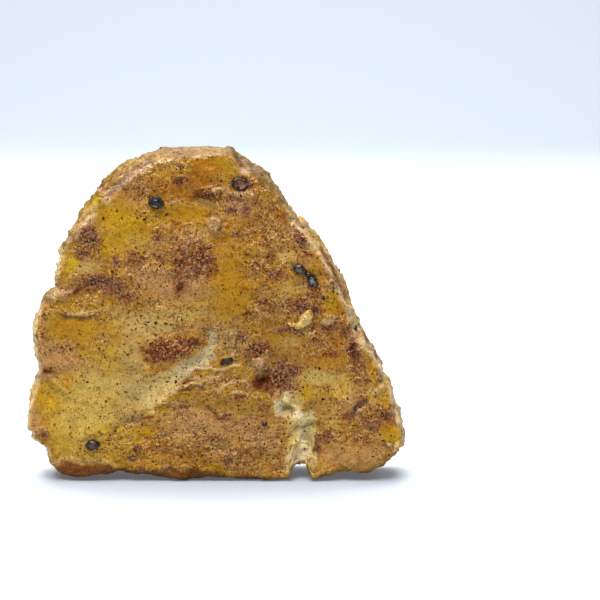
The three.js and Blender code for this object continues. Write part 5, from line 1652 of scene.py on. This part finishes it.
def glazed_dough():
    """The crust's finish: the painted dough with its grain, toast and pepper, glossy in wet spots."""
    finish = Finish("glazed_dough")
    maths, ramp, noise = finish.maths, finish.ramp, finish.noise
    toasted, crumb, rough_crust = [finish.painted(name) for name in ("toasted", "crumb", "rough")]
    fine = noise(FINE_GRAIN, 1.0)
    coarse = noise(COARSE_GRAIN, 2.0, 0.1)
    colour = sanded(finish, fine, coarse, rough_crust)
    colour = toasted_over(finish, colour, fine, coarse, rough_crust, toasted)
    colour = dusted(finish, colour, crumb)

    wet = maths("MULTIPLY", ramp(noise(WET_SPOTS, 2.0, 0.9), 0.45, 0.55), ramp(crumb, 0.3, 0.9, 1.0, 0.3))
    wet = maths("MULTIPLY", wet, ramp(rough_crust, 0.0, 0.7, 0.15, 1.0))
    wet = maths("MULTIPLY", wet, ramp(toasted, 0.2, 0.9, 1.0, 0.35))
    height = maths("ADD", noise(SKIN_GRAIN, 3.0, 0.5), maths("MULTIPLY", coarse, 0.8))
    skin_bump = finish.bump(height, 0.8, SKIN_GRAIN_RISE)
    crisp_bump = finish.bump(noise(CRISP_GRAIN, 1.0, 0.8), wet, CRISP_GRAIN_RISE, skin_bump)
    dry = maths("ADD", ramp(coarse, 0.35, 0.65, 0.4, 0.55), maths("MULTIPLY", crumb, 0.25))
    rough = maths("SUBTRACT", dry, maths("MULTIPLY", wet, 0.22))
    return finish.made(colour, rough, crisp_bump, ramp(wet, 0.0, 1.0, 0.12, 1.0), DOUGH_TINT)


def simple_finish(name, dark, light, rough, grain_size, grain_rise, gloss, toned=False, specks=None):
    """A finish that wanders between two colours by its grain or, where toned, from fleck to fleck."""
    finish = Finish(name)
    noise = finish.noise(grain_size, 3.0)
    tone = finish.painted("tone") if toned else noise
    colour = finish.mix(finish.ramp(tone, 0.3, 0.7), solid(dark), solid(light))
    if specks is not None:
        grit = finish.ramp(finish.noise(LUMP_SPECKS, 1.0), 0.56, 0.66)
        colour = finish.mix(grit, colour, solid(specks))
    shine = finish.ramp(noise, 0.3, 0.7, rough - 0.1, rough + 0.15)
    return finish.made(colour, shine, finish.bump(noise, 0.7, grain_rise), gloss, CRUST_TINT)


def seed_coat():
    """Black seed skin, unevenly glossy and worn lighter in spots."""
    finish = Finish("seed_coat")
    noise = finish.noise(SEED_GRAIN)
    worn = finish.ramp(noise, 0.58, 0.7, 0.0, 0.5)
    colour = finish.mix(worn, finish.painted("coat", "Color"), solid(SEED_WORN))
    shine = finish.ramp(noise, 0.3, 0.7, 0.16, 0.4)
    return finish.made(colour, shine, finish.bump(noise, 0.8, SEED_GRAIN_RISE), 0.45, SEED_TINT)


def pepper_flecks():
    return simple_finish(
        "pepper_flecks", PEPPER_DARK, PEPPER_LIGHT,
        rough=0.7, grain_size=0.2, grain_rise=0.02, gloss=0.05, toned=True,
    )


def crumb_grains():
    return simple_finish(
        "crumb_grains", shade("6a3f20"), shade("b58650"),
        rough=0.4, grain_size=0.3, grain_rise=0.03, gloss=0.4, toned=True,
    )


def lump_crust():
    return simple_finish(
        "lump_crust", shade("86603a"), shade("bc9a6a"),
        rough=0.4, grain_size=0.7, grain_rise=0.2, gloss=0.4, specks=shade("78471f"),
    )


def flake_crust():
    return simple_finish(
        "flake_crust", shade("a9823e"), shade("d6bc7e"),
        rough=0.4, grain_size=0.6, grain_rise=0.2, gloss=0.4, specks=shade("8a5e2a"),
    )


# ---------------------------------------------------------------- floor, light and camera

LOOK_AT = Vector((SEEN_MIDDLE[0], 0, SEEN_MIDDLE[1])) * MM
LENS = 112.5
SENSOR_WIDTH = 36
NEAREST = 0.01

# The sweep, in metres.
SWEEP_WIDTH = 3.0
SWEEP_FRONT = -1.5
SWEEP_BACK = 0.75
SWEEP_ROUND = 0.35
SWEEP_TOP = 1.6
SWEEP_STEPS = 24
SWEEP_COLOUR = (0.365, 0.405, 0.455)
SWEEP_GLOW, SWEEP_GLOW_STRENGTH = (0.92, 0.93, 1.0), 0.11

SKY_COLOUR, SKY_STRENGTH = (0.93, 0.97, 1.0), 0.3
SOFTBOXES = [  # name, place, what it is aimed at, width and height, all in metres, and power in watts
    ("top_softbox", (-0.1, 0.2, 0.7), (0, 0, 0.035), (0.6, 0.6), 12.0),
    ("front_softbox", (-0.1, -0.35, 0.75), (0, 0, 0.035), (0.5, 0.4), 8.5),
    ("low_softbox", (0.1, 0.6, 0.35), (0, 0, 0), (0.9, 0.4), 0.7),
    ("backdrop_softbox", (0, 0.3, 1.1), (0, 1.1, 0.3), (1.2, 0.4), 11.0),
]


def pale_sweep():
    """A floor that curves up into a backdrop behind the cracker."""
    profile = [(SWEEP_FRONT, 0)]
    for step in range(SWEEP_STEPS + 1):
        turn = math.pi / 2 * step / SWEEP_STEPS
        profile.append((SWEEP_BACK + SWEEP_ROUND * math.sin(turn), SWEEP_ROUND * (1 - math.cos(turn))))
    profile.append((SWEEP_BACK + SWEEP_ROUND, SWEEP_TOP))
    points = np.array([(side * SWEEP_WIDTH, y, z) for y, z in profile for side in (-1, 1)]) / MM
    faces = [(2 * n, 2 * n + 1, 2 * n + 3, 2 * n + 2) for n in range(len(profile) - 1)]
    sweep = new_mesh("pale_sweep", points, faces)
    material, add = nodes_of("pale_sweep")
    finish = add("ShaderNodeBsdfPrincipled", {
        "Base Color": solid(SWEEP_COLOUR),
        "Roughness": 0.8,
        "Emission Color": solid(SWEEP_GLOW),
        "Emission Strength": SWEEP_GLOW_STRENGTH,
    })
    add("ShaderNodeOutputMaterial", {"Surface": finish.outputs[0]})
    sweep.data.materials.append(material)


def softbox(name, at, aim, size, power):
    lamp = bpy.data.lights.new(name, "AREA")
    lamp.shape = "RECTANGLE"
    lamp.size, lamp.size_y = size
    lamp.energy = power
    light = bpy.data.objects.new(name, lamp)
    light.location = at
    light.rotation_euler = (Vector(aim) - Vector(at)).to_track_quat("-Z", "Y").to_euler()
    bpy.context.scene.collection.objects.link(light)


def studio():
    pale_sweep()
    world = bpy.data.worlds.new("studio")
    bpy.context.scene.world = world
    world.use_nodes = True
    background = world.node_tree.nodes["Background"]
    background.inputs["Color"].default_value = solid(SKY_COLOUR)
    background.inputs["Strength"].default_value = SKY_STRENGTH
    for box in SOFTBOXES:
        softbox(*box)


def camera():
    lens = bpy.data.cameras.new("camera")
    lens.lens = LENS
    lens.sensor_width = SENSOR_WIDTH
    lens.clip_start = NEAREST
    view = bpy.data.objects.new("camera", lens)
    view.location = LOOK_AT + SEEN_FROM * MM * Vector((0, -math.cos(SEEN_DOWN), math.sin(SEEN_DOWN)))
    view.rotation_euler = (math.pi / 2 - SEEN_DOWN, 0, 0)
    bpy.context.scene.collection.objects.link(view)
    bpy.context.scene.camera = view
    bpy.context.scene.view_settings.view_transform = "Standard"


# ---------------------------------------------------------------- putting it together


def finished(piece, material):
    """Gives a piece its finish and its place in the record."""
    if material:
        piece.data.materials.append(material)
    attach(piece, "root")


the_crust = crust()
skin = Skin(the_crust)
pepper_finish = pepper_flecks()
pepper = scattered(
    "ground_pepper", the_crust, pepper_finish, density_name="peppered", per_square_metre=8e5,
    smallest=0.16, largest=0.52, flatness=0.4, seed=3,
)
grains = scattered(
    "blister_grains", the_crust, crumb_grains(), density_name="rough", per_square_metre=4.5e5,
    smallest=0.15, largest=0.42, flatness=0.5, seed=8,
)
finished(the_crust, glazed_dough())
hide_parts("cracker")
finished(sesame_seeds(skin), seed_coat())
finished(baked_lumps(skin), lump_crust())
finished(raised_flake(skin), flake_crust())
finished(pepper, None)
finished(coarse_pepper(skin), pepper_finish)
finished(grains, None)

studio()
camera()
